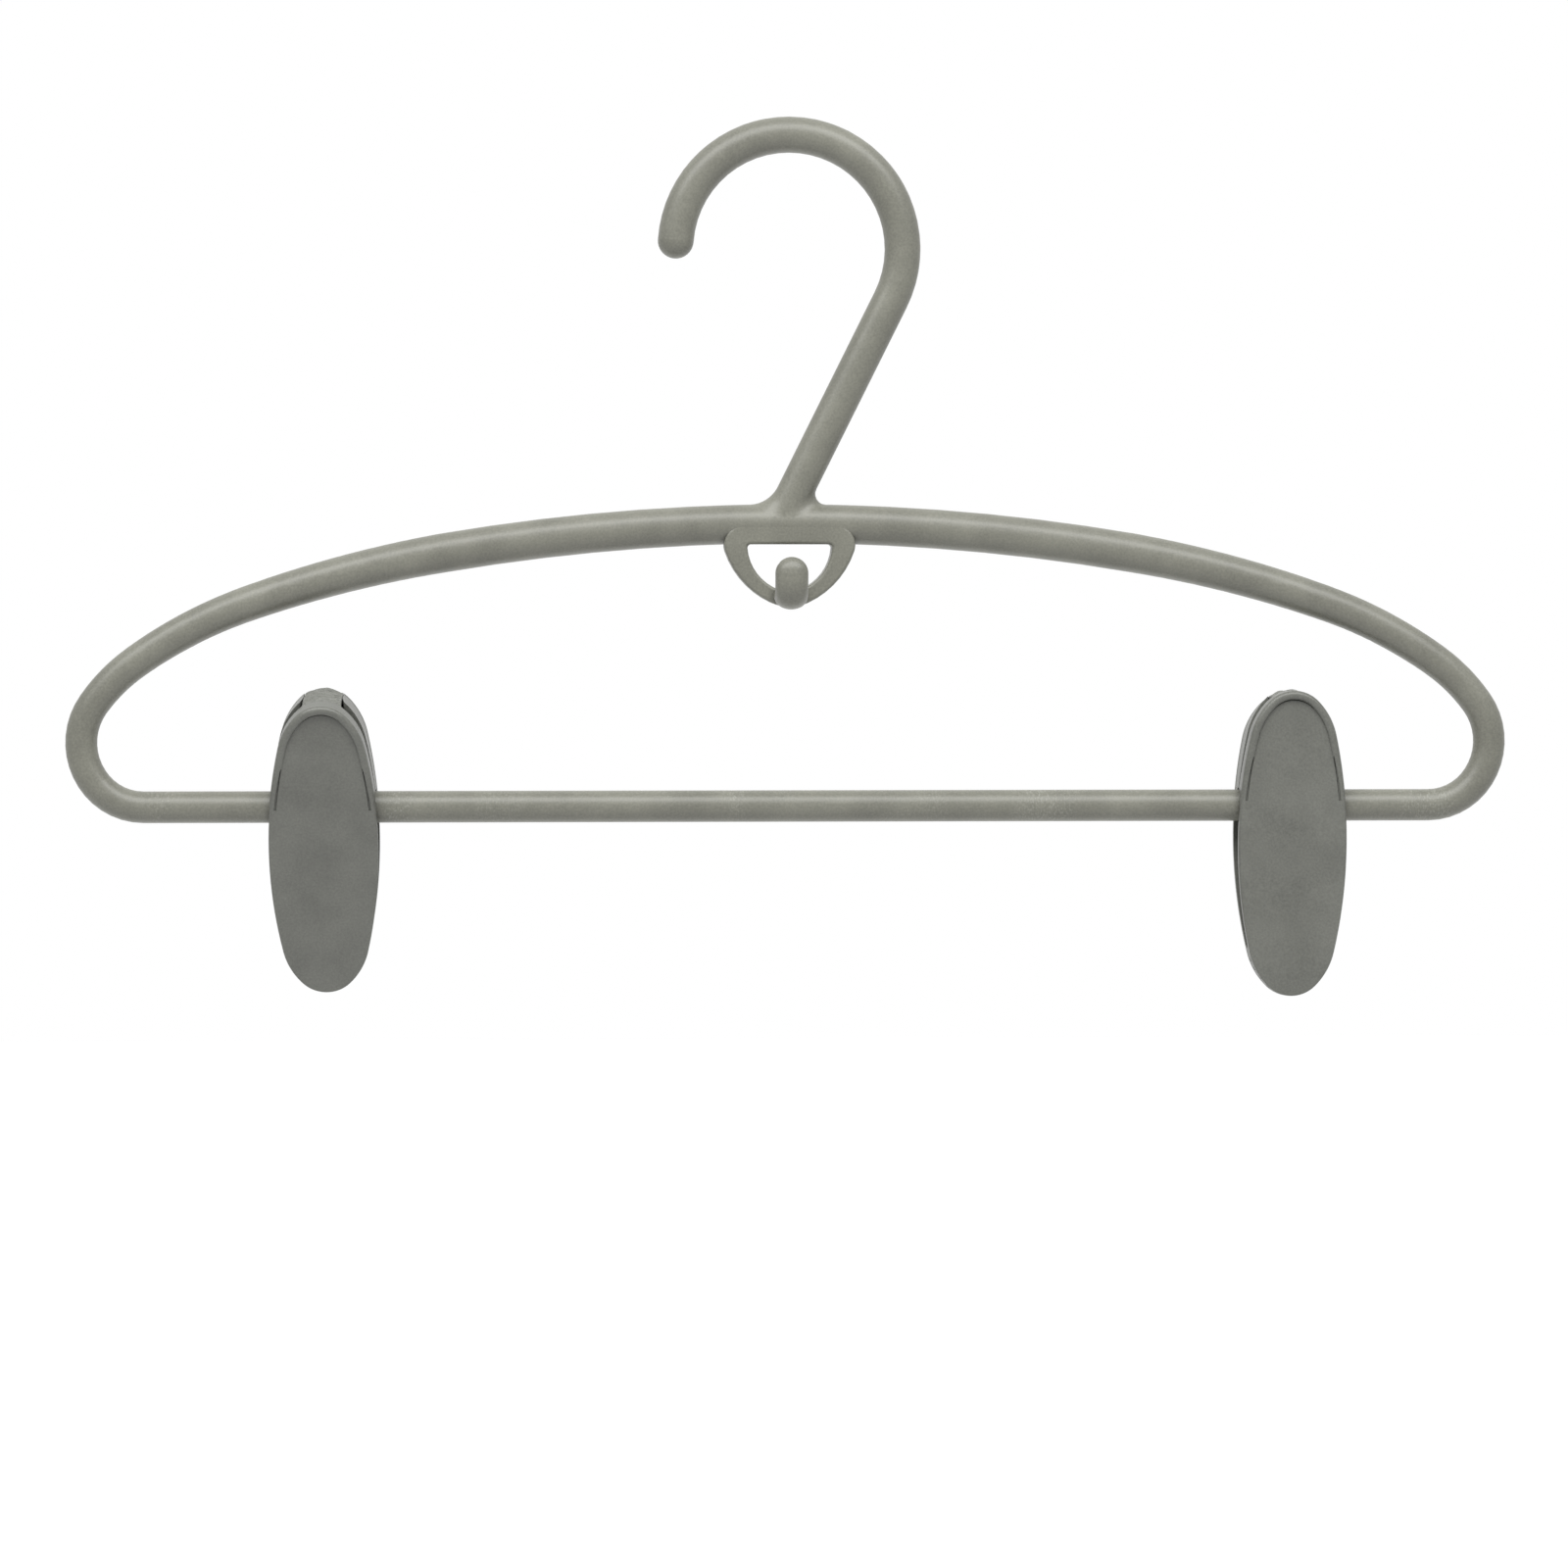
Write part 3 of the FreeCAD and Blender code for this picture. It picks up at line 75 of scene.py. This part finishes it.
# Moulded plastic: noise levels, then sizes and depths of its clouds, grain, peel and specks, then the
# painted shade that darkens its crevices
NOISE_LEVELS = (0.3, 0.7)
NOISE_DETAIL = 2
FINE_DETAIL = 3
SPECULAR_LEVEL = 0.5
DARK_SHARE = 0.76
PALE_SHARE = 1.24
CLOUD_SIZE = 9 * MM
CLOUD_SHARE = 0.45
GRAIN_SIZE = 0.46 * MM
GRAIN_SHARE = 0.55
GRAIN_DEPTH = 0.006 * MM
GRAIN_GLOSS = (-0.05, 0.07)
PEEL_SIZE = 2.2 * MM
PEEL_DEPTH = 0.007 * MM
SPECK_SIZE = 0.7 * MM
SPECK_LEVELS = (0.69, 0.76)
SPECK_STRENGTH = 0.22
SPECK_SHARE = 1.35
# Painted shade in crevices: how far to look for nearby surfaces, and how much to darken the colour there
CREVICE_REACH = 1.6 * MM
CREVICE_LEVELS = (0.7, 0.95)
CREVICE_SHADE_STRENGTH = 0.34
CREVICE_SHADE_SHARE = 0.15
CREVICE_SAMPLES = 8

# Frame's plastic and the scuffs along its bar
FRAME_COLOUR = (119, 119, 109)
FRAME_ROUGHNESS = 0.37
SCUFF_REACH = 3.4 * MM
SCUFF_FADE = 0.4 * MM
SCUFF_COLOUR = (186, 187, 178)
SCUFF_PATCH = 16 * MM
SCUFF_PATCH_STRETCH = (1, 4, 4)
SCUFF_PATCH_LEVELS = (0.46, 0.6)
SCUFF_STROKE = 0.36 * MM
SCUFF_STROKE_DETAIL = 4
SCUFF_STROKE_STRETCH = (1, 3, 1.6)
SCUFF_STROKE_LEVELS = (0.5, 0.72)
SCUFF_STRENGTH = 0.34
SCUFF_DULLING = 0.12
SCUFF_DEPTH = 0.02 * MM

# Clip's plastic and the rubs on its faces
CLIP_COLOUR = (104, 105, 99)
CLIP_ROUGHNESS = 0.37
RUB_COLOUR = (170, 171, 165)
RUB_SIZE = 1.1 * MM
RUB_STRETCH = (1, 1, 1.6)
RUB_LEVELS = (0.7, 0.75)
RUB_SPACING = 14 * MM
RUB_SPACING_LEVELS = (0.56, 0.66)
RUB_STRENGTH = 0.45

# Strap's plastic and its whitened folds
STRAP_COLOUR = (108, 109, 103)
STRAP_ROUGHNESS = 0.48
FOLD_COLOUR = (138, 139, 133)
FOLD_SIZE = 0.6 * MM
FOLD_STRETCH = (5, 1, 1)
FOLD_LEVELS = (0.35, 0.7)
FOLD_STRENGTH = 0.5
WRINKLE_SIZE = 0.3 * MM
WRINKLE_STRETCH = (4, 1, 1)
WRINKLE_DEPTH = 0.1 * MM

# Spring's steel
STEEL_DULL = (178, 178, 176)
STEEL_BRIGHT = (206, 206, 204)
STEEL_PATCH = 1.5 * MM
STEEL_STREAK = 0.16 * MM
STEEL_STREAK_DEPTH = 0.004 * MM
STEEL_ROUGHNESS = (0.22, 0.4)

# Strap over the top of a clip, in the clip's own frame: Y to the back, Z up from the bar
CLIP_TOP = 25 * MM
CLIP_END_RADIUS = 7.2 * MM
WEDGE = math.radians(5.75)
STRAP_WIDTH = 8.2 * MM
STRAP_THICKNESS = 1.25 * MM
STRAP_EDGE_RADIUS = 0.18 * MM
STRAP_BEND_REACH = 3.2 * MM
STRAP_FLARE = 1.1 * MM
STRAP_FLARE_RUN = 1.5 * MM
STRAP_LAP = 0.8 * MM
LAP_THICKNESS = 0.14 * MM
LAP_SINK = 0.12 * MM
LAP_LIFT = 0.05 * MM
CREASE_DEPTH = 0.5 * MM
CREASE_SINK_SHARE = 0.55
CREASE_PITCH = 0.85 * MM
CREASE_LENGTH = 4.5 * MM
CREASE_MARGIN = 0.5 * MM
CREASE_WANDER = 1.3
CREASE_WANDER_LAYER = 3.1
CREASE_FOLD_LAYER = 7.7
CREASE_FINE_LAYER = 1.9
CREASE_FINE_ACROSS = 1.7
CREASE_FINE_ALONG = 2.3
CREASE_FINE_SHARE = 0.5
LAP_RISE_SHARE = 0.25
STRAP_STATIONS = 130
STRAP_STEPS = 56
STRAP_UNDER_STEPS = 14

# Coil spring between the finger ends
SPRING_HEIGHT = 14.5 * MM
SPRING_RADIUS = 2.9 * MM
SPRING_WIRE = 0.8 * MM
SPRING_TURNS = 5
SPRING_END_TURNS = 0.7
SPRING_END_PITCH = 0.86 * MM
COIL_STEPS = 48
WIRE_CORNERS = 14

# Edges of a piece that are shown sharp
SHARP_ANGLE = math.radians(50)


def linear(red, green, blue):
    """Colour of the scene from a colour on the screen, each from 0 to 255."""
    parts = [channel / 255 for channel in (red, green, blue)]
    return [c / 12.92 if c <= 0.04045 else ((c + 0.055) / 1.055) ** 2.4 for c in parts] + [1]


# Materials


class Nodes:
    """Short way to add nodes and links to one material."""

    def __init__(self, name):
        self.material = bpy.data.materials.new(name)
        self.material.use_nodes = True
        self.tree = self.material.node_tree
        self.shader = self.tree.nodes["Principled BSDF"]
        self.place = self.add("ShaderNodeTexCoord").outputs["Object"]

    def add(self, kind, **settings):
        node = self.tree.nodes.new(kind)
        for name, value in settings.items():
            setattr(node, name, value)
        return node

    def link(self, source, target):
        self.tree.links.new(source, target)

    def math(self, operation, first, second):
        node = self.add("ShaderNodeMath", operation=operation)
        for socket, value in zip(node.inputs, (first, second)):
            if isinstance(value, (int, float)):
                socket.default_value = value
            else:
                self.link(value, socket)
        return node.outputs["Value"]

    def noise(self, grain, detail=NOISE_DETAIL, stretch=(1, 1, 1)):
        """Noise whose features are about as long as the grain, longer along an axis that is stretched."""
        spread = self.add("ShaderNodeMapping")
        spread.inputs["Scale"].default_value = [1 / (grain * share) for share in stretch]
        self.link(self.place, spread.inputs["Vector"])
        field = self.add("ShaderNodeTexNoise")
        field.inputs["Scale"].default_value = 1
        field.inputs["Detail"].default_value = detail
        self.link(spread.outputs["Vector"], field.inputs["Vector"])
        return field.outputs["Fac"]

    def ramp(self, value, low, high, to_low=0, to_high=1):
        """Value between two levels, spread over another pair of levels."""
        node = self.add("ShaderNodeMapRange")
        self.link(value, node.inputs["Value"])
        for name, level in (("From Min", low), ("From Max", high), ("To Min", to_low), ("To Max", to_high)):
            node.inputs[name].default_value = level
        return node.outputs["Result"]

    def tint(self, amount, first, second):
        """Colour between two, or from a linked colour to another."""
        node = self.add("ShaderNodeMix", data_type="RGBA")
        self.link(amount, node.inputs["Factor"])
        for socket, colour in ((node.inputs[6], first), (node.inputs[7], second)):
            if isinstance(colour, list):
                socket.default_value = colour
            else:
                self.link(colour, socket)
        return node.outputs[2]

    def bump(self, height, depth, below=None):
        node = self.add("ShaderNodeBump")
        node.inputs["Distance"].default_value = depth
        self.link(height, node.inputs["Height"])
        if below:
            self.link(below, node.inputs["Normal"])
        return node.outputs["Normal"]

    def crevices(self, reach):
        """How open the surface is: 1 in the open, less where other surfaces stand within the reach. The
        plastics use it to paint shade into crevices.
        """
        node = self.add("ShaderNodeAmbientOcclusion", samples=CREVICE_SAMPLES)
        node.inputs["Distance"].default_value = reach
        return node.outputs["AO"]

    def finish(self, colour, roughness, normal):
        self.link(colour, self.shader.inputs["Base Color"])
        self.link(roughness, self.shader.inputs["Roughness"])
        self.link(normal, self.shader.inputs["Normal"])
        return self.material


def shade(colour, share):
    """Colour with its light scaled by a share."""
    return [*(channel * share for channel in colour[:3]), 1]


def moulded_plastic(name, screen_colour, gloss):
    """Satin moulded plastic: fine spark-eroded grain, faint clouds in the colour, few pale specks, and
    painted shade that darkens its crevices and grooves.
    """
    nodes = Nodes(name)
    colour = linear(*screen_colour)
    nodes.shader.inputs["Specular IOR Level"].default_value = SPECULAR_LEVEL
    clouds = nodes.ramp(nodes.noise(CLOUD_SIZE), *NOISE_LEVELS)
    grain = nodes.ramp(nodes.noise(GRAIN_SIZE, detail=FINE_DETAIL), *NOISE_LEVELS)
    speck = nodes.ramp(nodes.noise(SPECK_SIZE), *SPECK_LEVELS, 0, SPECK_STRENGTH)
    cloud_part = nodes.math("MULTIPLY", clouds, CLOUD_SHARE)
    tone = nodes.math("ADD", cloud_part, nodes.math("MULTIPLY", grain, GRAIN_SHARE))
    body = nodes.tint(tone, shade(colour, DARK_SHARE), shade(colour, PALE_SHARE))
    specked = nodes.tint(speck, body, shade(colour, SPECK_SHARE))
    # Painted shade: the colour is darkened towards a dark share where ambient occlusion finds nearby
    # surfaces, in crevices, grooves and recesses
    crevice_shade = nodes.ramp(nodes.crevices(CREVICE_REACH), *CREVICE_LEVELS, CREVICE_SHADE_STRENGTH, 0)
    shaded_in_crevices = nodes.tint(crevice_shade, specked, shade(colour, CREVICE_SHADE_SHARE))
    roughness = nodes.ramp(grain, 0, 1, *(gloss + change for change in GRAIN_GLOSS))
    peel = nodes.bump(nodes.noise(PEEL_SIZE), PEEL_DEPTH)
    normal = nodes.bump(grain, GRAIN_DEPTH, peel)
    return nodes, shaded_in_crevices, roughness, normal


def frame_plastic():
    """Frame's plastic, with the scuffs that sliding clips leave along the bar."""
    nodes, colour, roughness, normal = moulded_plastic("frame_plastic", FRAME_COLOUR, FRAME_ROUGHNESS)
    bar = joints["left_clip_tilt"]["pos_m"][2]
    split = nodes.add("ShaderNodeSeparateXYZ")
    nodes.link(nodes.place, split.inputs["Vector"])
    off_bar = nodes.math("ABSOLUTE", nodes.math("SUBTRACT", split.outputs["Z"], bar), 0)
    on_bar = nodes.ramp(off_bar, SCUFF_REACH, SCUFF_REACH + SCUFF_FADE, 1, 0)
    patches = nodes.ramp(nodes.noise(SCUFF_PATCH, stretch=SCUFF_PATCH_STRETCH), *SCUFF_PATCH_LEVELS)
    stroke_noise = nodes.noise(SCUFF_STROKE, detail=SCUFF_STROKE_DETAIL, stretch=SCUFF_STROKE_STRETCH)
    strokes = nodes.ramp(stroke_noise, *SCUFF_STROKE_LEVELS)
    scuffed = nodes.math("MULTIPLY", nodes.math("MULTIPLY", patches, strokes), on_bar)
    amount = nodes.math("MULTIPLY", scuffed, SCUFF_STRENGTH)
    worn = nodes.tint(amount, colour, linear(*SCUFF_COLOUR))
    dulled = nodes.math("ADD", roughness, nodes.math("MULTIPLY", scuffed, SCUFF_DULLING))
    scratched = nodes.bump(scuffed, SCUFF_DEPTH, normal)
    return nodes.finish(worn, dulled, scratched)


def clip_plastic():
    """Clip's plastic, a little darker, with small pale rubs on its faces."""
    nodes, colour, roughness, normal = moulded_plastic("clip_plastic", CLIP_COLOUR, CLIP_ROUGHNESS)
    rubs = nodes.ramp(nodes.noise(RUB_SIZE, detail=FINE_DETAIL, stretch=RUB_STRETCH), *RUB_LEVELS)
    rare = nodes.ramp(nodes.noise(RUB_SPACING), *RUB_SPACING_LEVELS)
    amount = nodes.math("MULTIPLY", nodes.math("MULTIPLY", rubs, rare), RUB_STRENGTH)
    return nodes.finish(nodes.tint(amount, colour, linear(*RUB_COLOUR)), roughness, normal)


def strap_plastic():
    """Strap's plastic, paler where bending has whitened its creases."""
    nodes, colour, roughness, normal = moulded_plastic("strap_plastic", STRAP_COLOUR, STRAP_ROUGHNESS)
    fold_noise = nodes.noise(FOLD_SIZE, detail=FINE_DETAIL, stretch=FOLD_STRETCH)
    folds = nodes.ramp(fold_noise, *FOLD_LEVELS, 0, FOLD_STRENGTH)
    pale = nodes.tint(folds, colour, linear(*FOLD_COLOUR))
    wrinkles = nodes.noise(WRINKLE_SIZE, detail=FINE_DETAIL, stretch=WRINKLE_STRETCH)
    return nodes.finish(pale, roughness, nodes.bump(wrinkles, WRINKLE_DEPTH, normal))


def spring_steel():
    """Drawn steel wire, finely streaked and a little dulled."""
    nodes = Nodes("spring_steel")
    nodes.shader.inputs["Metallic"].default_value = 1
    streaks = nodes.noise(STEEL_STREAK, detail=FINE_DETAIL)
    dull = nodes.ramp(nodes.noise(STEEL_PATCH), *NOISE_LEVELS)
    colour = nodes.tint(dull, linear(*STEEL_DULL), linear(*STEEL_BRIGHT))
    roughness = nodes.ramp(streaks, *NOISE_LEVELS, *STEEL_ROUGHNESS)
    return nodes.finish(colour, roughness, nodes.bump(streaks, STEEL_STREAK_DEPTH))


# Pieces


def new_piece(name, points, faces, material):
    """Mesh of one piece, smooth but for its sharp edges."""
    mesh = bpy.data.meshes.new(name)
    mesh.from_pydata(points, [], faces)
    mesh.validate()
    for face in mesh.polygons:
        face.use_smooth = True
    mesh.set_sharp_from_angle(angle=SHARP_ANGLE)
    mesh.materials.append(material)
    piece = bpy.data.objects.new(name, mesh)
    bpy.context.scene.collection.objects.link(piece)
    return piece


def skin(rings):
    """Points and faces of a closed tube through rings of equally many points, with its two ends capped."""
    count = len(rings[0])
    points = [point for ring in rings for point in ring]
    faces = []
    for i in range(len(rings) - 1):
        for j in range(count):
            k = (j + 1) % count
            faces.append((i * count + j, i * count + k, (i + 1) * count + k, (i + 1) * count + j))
    faces.append(tuple(reversed(range(count))))
    faces.append(tuple(range((len(rings) - 1) * count, len(rings) * count)))
    return points, faces


def clip_frame(side):
    """Place and tilt of a clip as it rests: its own frame has its origin on the bar."""
    tilt = joints[f"{side}_clip_tilt"]
    turn = -math.radians(sum(tilt["range_deg"]) / 2)
    return Matrix.Translation(tilt["pos_m"]) @ Matrix.Rotation(turn, 4, "X")


def strap_reach(side, clip):
    """Foremost and rearmost Y of the CAD strap in its clip's frame."""
    back = clip.inverted()
    places = [(back @ corner.co).y for corner in frame["nodes"][f"{side}_top_strap"].data.vertices]
    return min(places), max(places)


def crease(across, along):
    """Depth share of the strap's creases, which run across it and wander."""
    over, up = across / CREASE_LENGTH, along / CREASE_LENGTH
    wander = noise.noise(Vector((over, up, CREASE_WANDER_LAYER)))
    row = along / CREASE_PITCH + CREASE_WANDER * wander
    fold = noise.noise(Vector((over, row, CREASE_FOLD_LAYER)))
    fine_over = CREASE_FINE_ACROSS * across / CREASE_LENGTH
    fine = noise.noise(Vector((fine_over, CREASE_FINE_ALONG * row, CREASE_FINE_LAYER)))
    return fold + CREASE_FINE_SHARE * fine


def strap_crown(along):
    """Height of the strap's top at one place along it: an arc, then a straight fall each way."""
    radius = STRAP_BEND_REACH / math.sin(WEDGE)
    foot = CLIP_TOP / math.cos(WEDGE) - STRAP_BEND_REACH * math.tan(WEDGE)
    past = abs(along) - STRAP_BEND_REACH
    if past > 0:
        return foot - past * math.tan(WEDGE)
    return foot - radius * math.cos(WEDGE) + math.sqrt(radius ** 2 - along ** 2)


def strap_ring(along, front):
    """Section of the strap at one place along it: across the top, round the edges and back underneath.

    Ahead of its front end a thin lap runs on over the front jaw's rim."""
    lap = max(0, front - along) / STRAP_LAP
    crown = strap_crown(along) + LAP_LIFT * min(1, lap / LAP_RISE_SHARE) - LAP_SINK * lap
    flare = min(1, max(0, 1 - (along - front) / STRAP_FLARE_RUN))
    half = STRAP_WIDTH / 2 + STRAP_FLARE * flare ** 2
    thickness = STRAP_THICKNESS if along > front + LAP_THICKNESS else LAP_THICKNESS
    ring = []
    for i in range(STRAP_STEPS + 1):
        across = half * (1 - 2 * i / STRAP_STEPS)
        inside = half - abs(across)
        edge = max(0, STRAP_EDGE_RADIUS - inside)
        rounding = STRAP_EDGE_RADIUS - math.sqrt(STRAP_EDGE_RADIUS ** 2 - edge ** 2)
        settled = min(1, inside / CREASE_MARGIN) * (1 - min(1, lap))
        lift = CREASE_DEPTH * settled * (crease(across, along) - CREASE_SINK_SHARE)
        up = crown - CLIP_END_RADIUS + math.sqrt(CLIP_END_RADIUS ** 2 - across ** 2)
        ring.append(Vector((across, along, up - min(rounding, thickness / 2) + lift)))
    inner = CLIP_END_RADIUS - thickness
    for i in range(STRAP_UNDER_STEPS + 1):
        across = -half * (1 - 2 * i / STRAP_UNDER_STEPS)
        up = crown - CLIP_END_RADIUS + math.sqrt(inner ** 2 - across ** 2)
        ring.append(Vector((across, along, up)))
    return ring


def strap(side, material):
    """Creased strap that ties the tops of a clip's jaws."""
    clip = clip_frame(side)
    front, back = strap_reach(side, clip)
    start = front - STRAP_LAP
    places = [start + (back - start) * i / STRAP_STATIONS for i in range(STRAP_STATIONS + 1)]
    rings = [strap_ring(place, front) for place in places]
    points, faces = skin([[clip @ point for point in ring] for ring in rings])
    piece = new_piece(f"{side}_creased_strap", points, faces, material)
    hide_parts(f"{side}_top_strap")
    middle = CLIP_TOP - STRAP_THICKNESS
    start = clip @ Vector((0, back / 2, middle))
    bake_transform(piece)


def coil_line(half_length):
    """Centre line of the spring along Y, its end turns closed up."""
    run = half_length * 2 - SPRING_WIRE
    closed = SPRING_END_TURNS * SPRING_END_PITCH
    pitch = (run - 2 * closed) / (SPRING_TURNS - 2 * SPRING_END_TURNS)
    line = []
    for i in range(SPRING_TURNS * COIL_STEPS + 1):
        turn = i / COIL_STEPS
        first = min(turn, SPRING_END_TURNS)
        last = max(0, turn - SPRING_TURNS + SPRING_END_TURNS)
        along = (first + last) * SPRING_END_PITCH + (turn - first - last) * pitch - run / 2
        angle = 2 * math.pi * turn
        up = SPRING_HEIGHT + SPRING_RADIUS * math.sin(angle)
        line.append(Vector((SPRING_RADIUS * math.cos(angle), along, up)))
    return line


def spring(side, material):
    """Coil spring that pushes the finger ends apart."""
    clip = clip_frame(side)
    back = clip.inverted()
    places = [(back @ corner.co).y for corner in frame["nodes"][f"{side}_clip_spring"].data.vertices]
    half_length = (max(places) - min(places)) / 2
    line = coil_line(half_length)
    angles = [2 * math.pi * j / WIRE_CORNERS for j in range(WIRE_CORNERS)]
    rings = []
    for i, centre in enumerate(line):
        way = (line[min(i + 1, len(line) - 1)] - line[max(i - 1, 0)]).normalized()
        out = Vector((centre.x, 0, centre.z - SPRING_HEIGHT)).normalized()
        side_way = way.cross(out)
        ways = [out * math.cos(angle) + side_way * math.sin(angle) for angle in angles]
        rings.append([clip @ (centre + wall * SPRING_WIRE / 2) for wall in ways])
    piece = new_piece(f"{side}_coil_spring", *skin(rings), material)
    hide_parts(f"{side}_clip_spring")
    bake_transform(piece)


def dress(node, material):
    """Gives a CAD node a better material."""
    mesh = frame["nodes"][node].data
    mesh.materials.clear()
    mesh.materials.append(material)


# Stage


def white_seen(tree, shown, lit):
    """Mixes two shaders: the first for the eye, mirrors and glass, the second for all other light."""
    path = tree.nodes.new("ShaderNodeLightPath")
    seen = path.outputs["Is Camera Ray"]
    for name in ("Is Glossy Ray", "Is Transmission Ray"):
        either = tree.nodes.new("ShaderNodeMath")
        either.operation = "MAXIMUM"
        tree.links.new(seen, either.inputs[0])
        tree.links.new(path.outputs[name], either.inputs[1])
        seen = either.outputs["Value"]
    mix = tree.nodes.new("ShaderNodeMixShader")
    tree.links.new(seen, mix.inputs["Fac"])
    tree.links.new(lit, mix.inputs[1])
    tree.links.new(shown, mix.inputs[2])
    return mix.outputs["Shader"]


def white_world():
    """White to the eye, softer as light on the object."""
    world = bpy.data.worlds.new("studio")
    world.use_nodes = True
    tree = world.node_tree
    lit = tree.nodes["Background"]
    lit.inputs["Strength"].default_value = AMBIENT
    shown = tree.nodes.new("ShaderNodeBackground")
    for background in (lit, shown):
        background.inputs["Color"].default_value = [1, 1, 1, 1]
    output = tree.nodes["World Output"]
    mixed = white_seen(tree, shown.outputs["Background"], lit.outputs["Background"])
    tree.links.new(mixed, output.inputs["Surface"])
    bpy.context.scene.world = world


def pale_floor():
    """Pale floor below the hanger, lifted to white for the eye and still holding a shadow."""
    low = cad_box[0].z - FLOOR_DROP
    half = FLOOR_SPAN / 2
    corners = [(-half, -half, low), (half, -half, low), (half, half, low), (-half, half, low)]
    material = bpy.data.materials.new("pale_floor")
    material.use_nodes = True
    tree = material.node_tree
    matt = tree.nodes["Principled BSDF"]
    matt.inputs["Base Color"].default_value = [FLOOR_GREY, FLOOR_GREY, FLOOR_GREY, 1]
    matt.inputs["Roughness"].default_value = FLOOR_ROUGHNESS
    glow = tree.nodes.new("ShaderNodeEmission")
    glow.inputs["Strength"].default_value = FLOOR_GLOW
    lifted = tree.nodes.new("ShaderNodeAddShader")
    tree.links.new(matt.outputs["BSDF"], lifted.inputs[0])
    tree.links.new(glow.outputs["Emission"], lifted.inputs[1])
    output = tree.nodes["Material Output"]
    mixed = white_seen(tree, lifted.outputs["Shader"], matt.outputs["BSDF"])
    tree.links.new(mixed, output.inputs["Surface"])
    floor = new_piece("floor", corners, [(0, 1, 2, 3)], material)


def soft_box(name, place, width, power, mirrored=True):
    """Long soft lamp along the bar, facing the hanger, which shows in glossy surfaces if it is mirrored."""
    lamp = bpy.data.lights.new(name, "AREA")
    lamp.shape = "RECTANGLE"
    lamp.size = BOX_LENGTH
    lamp.size_y = width
    lamp.energy = power
    light = bpy.data.objects.new(name, lamp)
    light.location = place
    light.visible_glossy = mirrored
    light.rotation_euler = (math.atan2(-place.y, place.z - AIM.z), 0, 0)
    bpy.context.scene.collection.objects.link(light)


def camera():
    eye = bpy.data.objects.new("camera", bpy.data.cameras.new("camera"))
    eye.data.sensor_width = SENSOR_WIDTH
    eye.data.lens = SENSOR_WIDTH * (AIM - EYE).length / VIEW_WIDTH
    eye.location = EYE
    eye.rotation_euler = (AIM - EYE).to_track_quat("-Z", "Y").to_euler()
    bpy.context.scene.collection.objects.link(eye)
    bpy.context.scene.camera = eye


clip_finish = clip_plastic()
strap_finish = strap_plastic()
wire_finish = spring_steel()
dress("hanger_frame", frame_plastic())
for side in ("left", "right"):
    for node in ("front_jaw", "back_jaw", "bar_sleeve"):
        dress(f"{side}_{node}", clip_finish)
    strap(side, strap_finish)
    spring(side, wire_finish)
white_world()
pale_floor()
soft_box("key", KEY_PLACE, KEY_WIDTH, KEY_POWER)
soft_box("fill", FILL_PLACE, FILL_WIDTH, FILL_POWER, mirrored=False)
camera()
bpy.context.scene.view_settings.view_transform = "Standard"
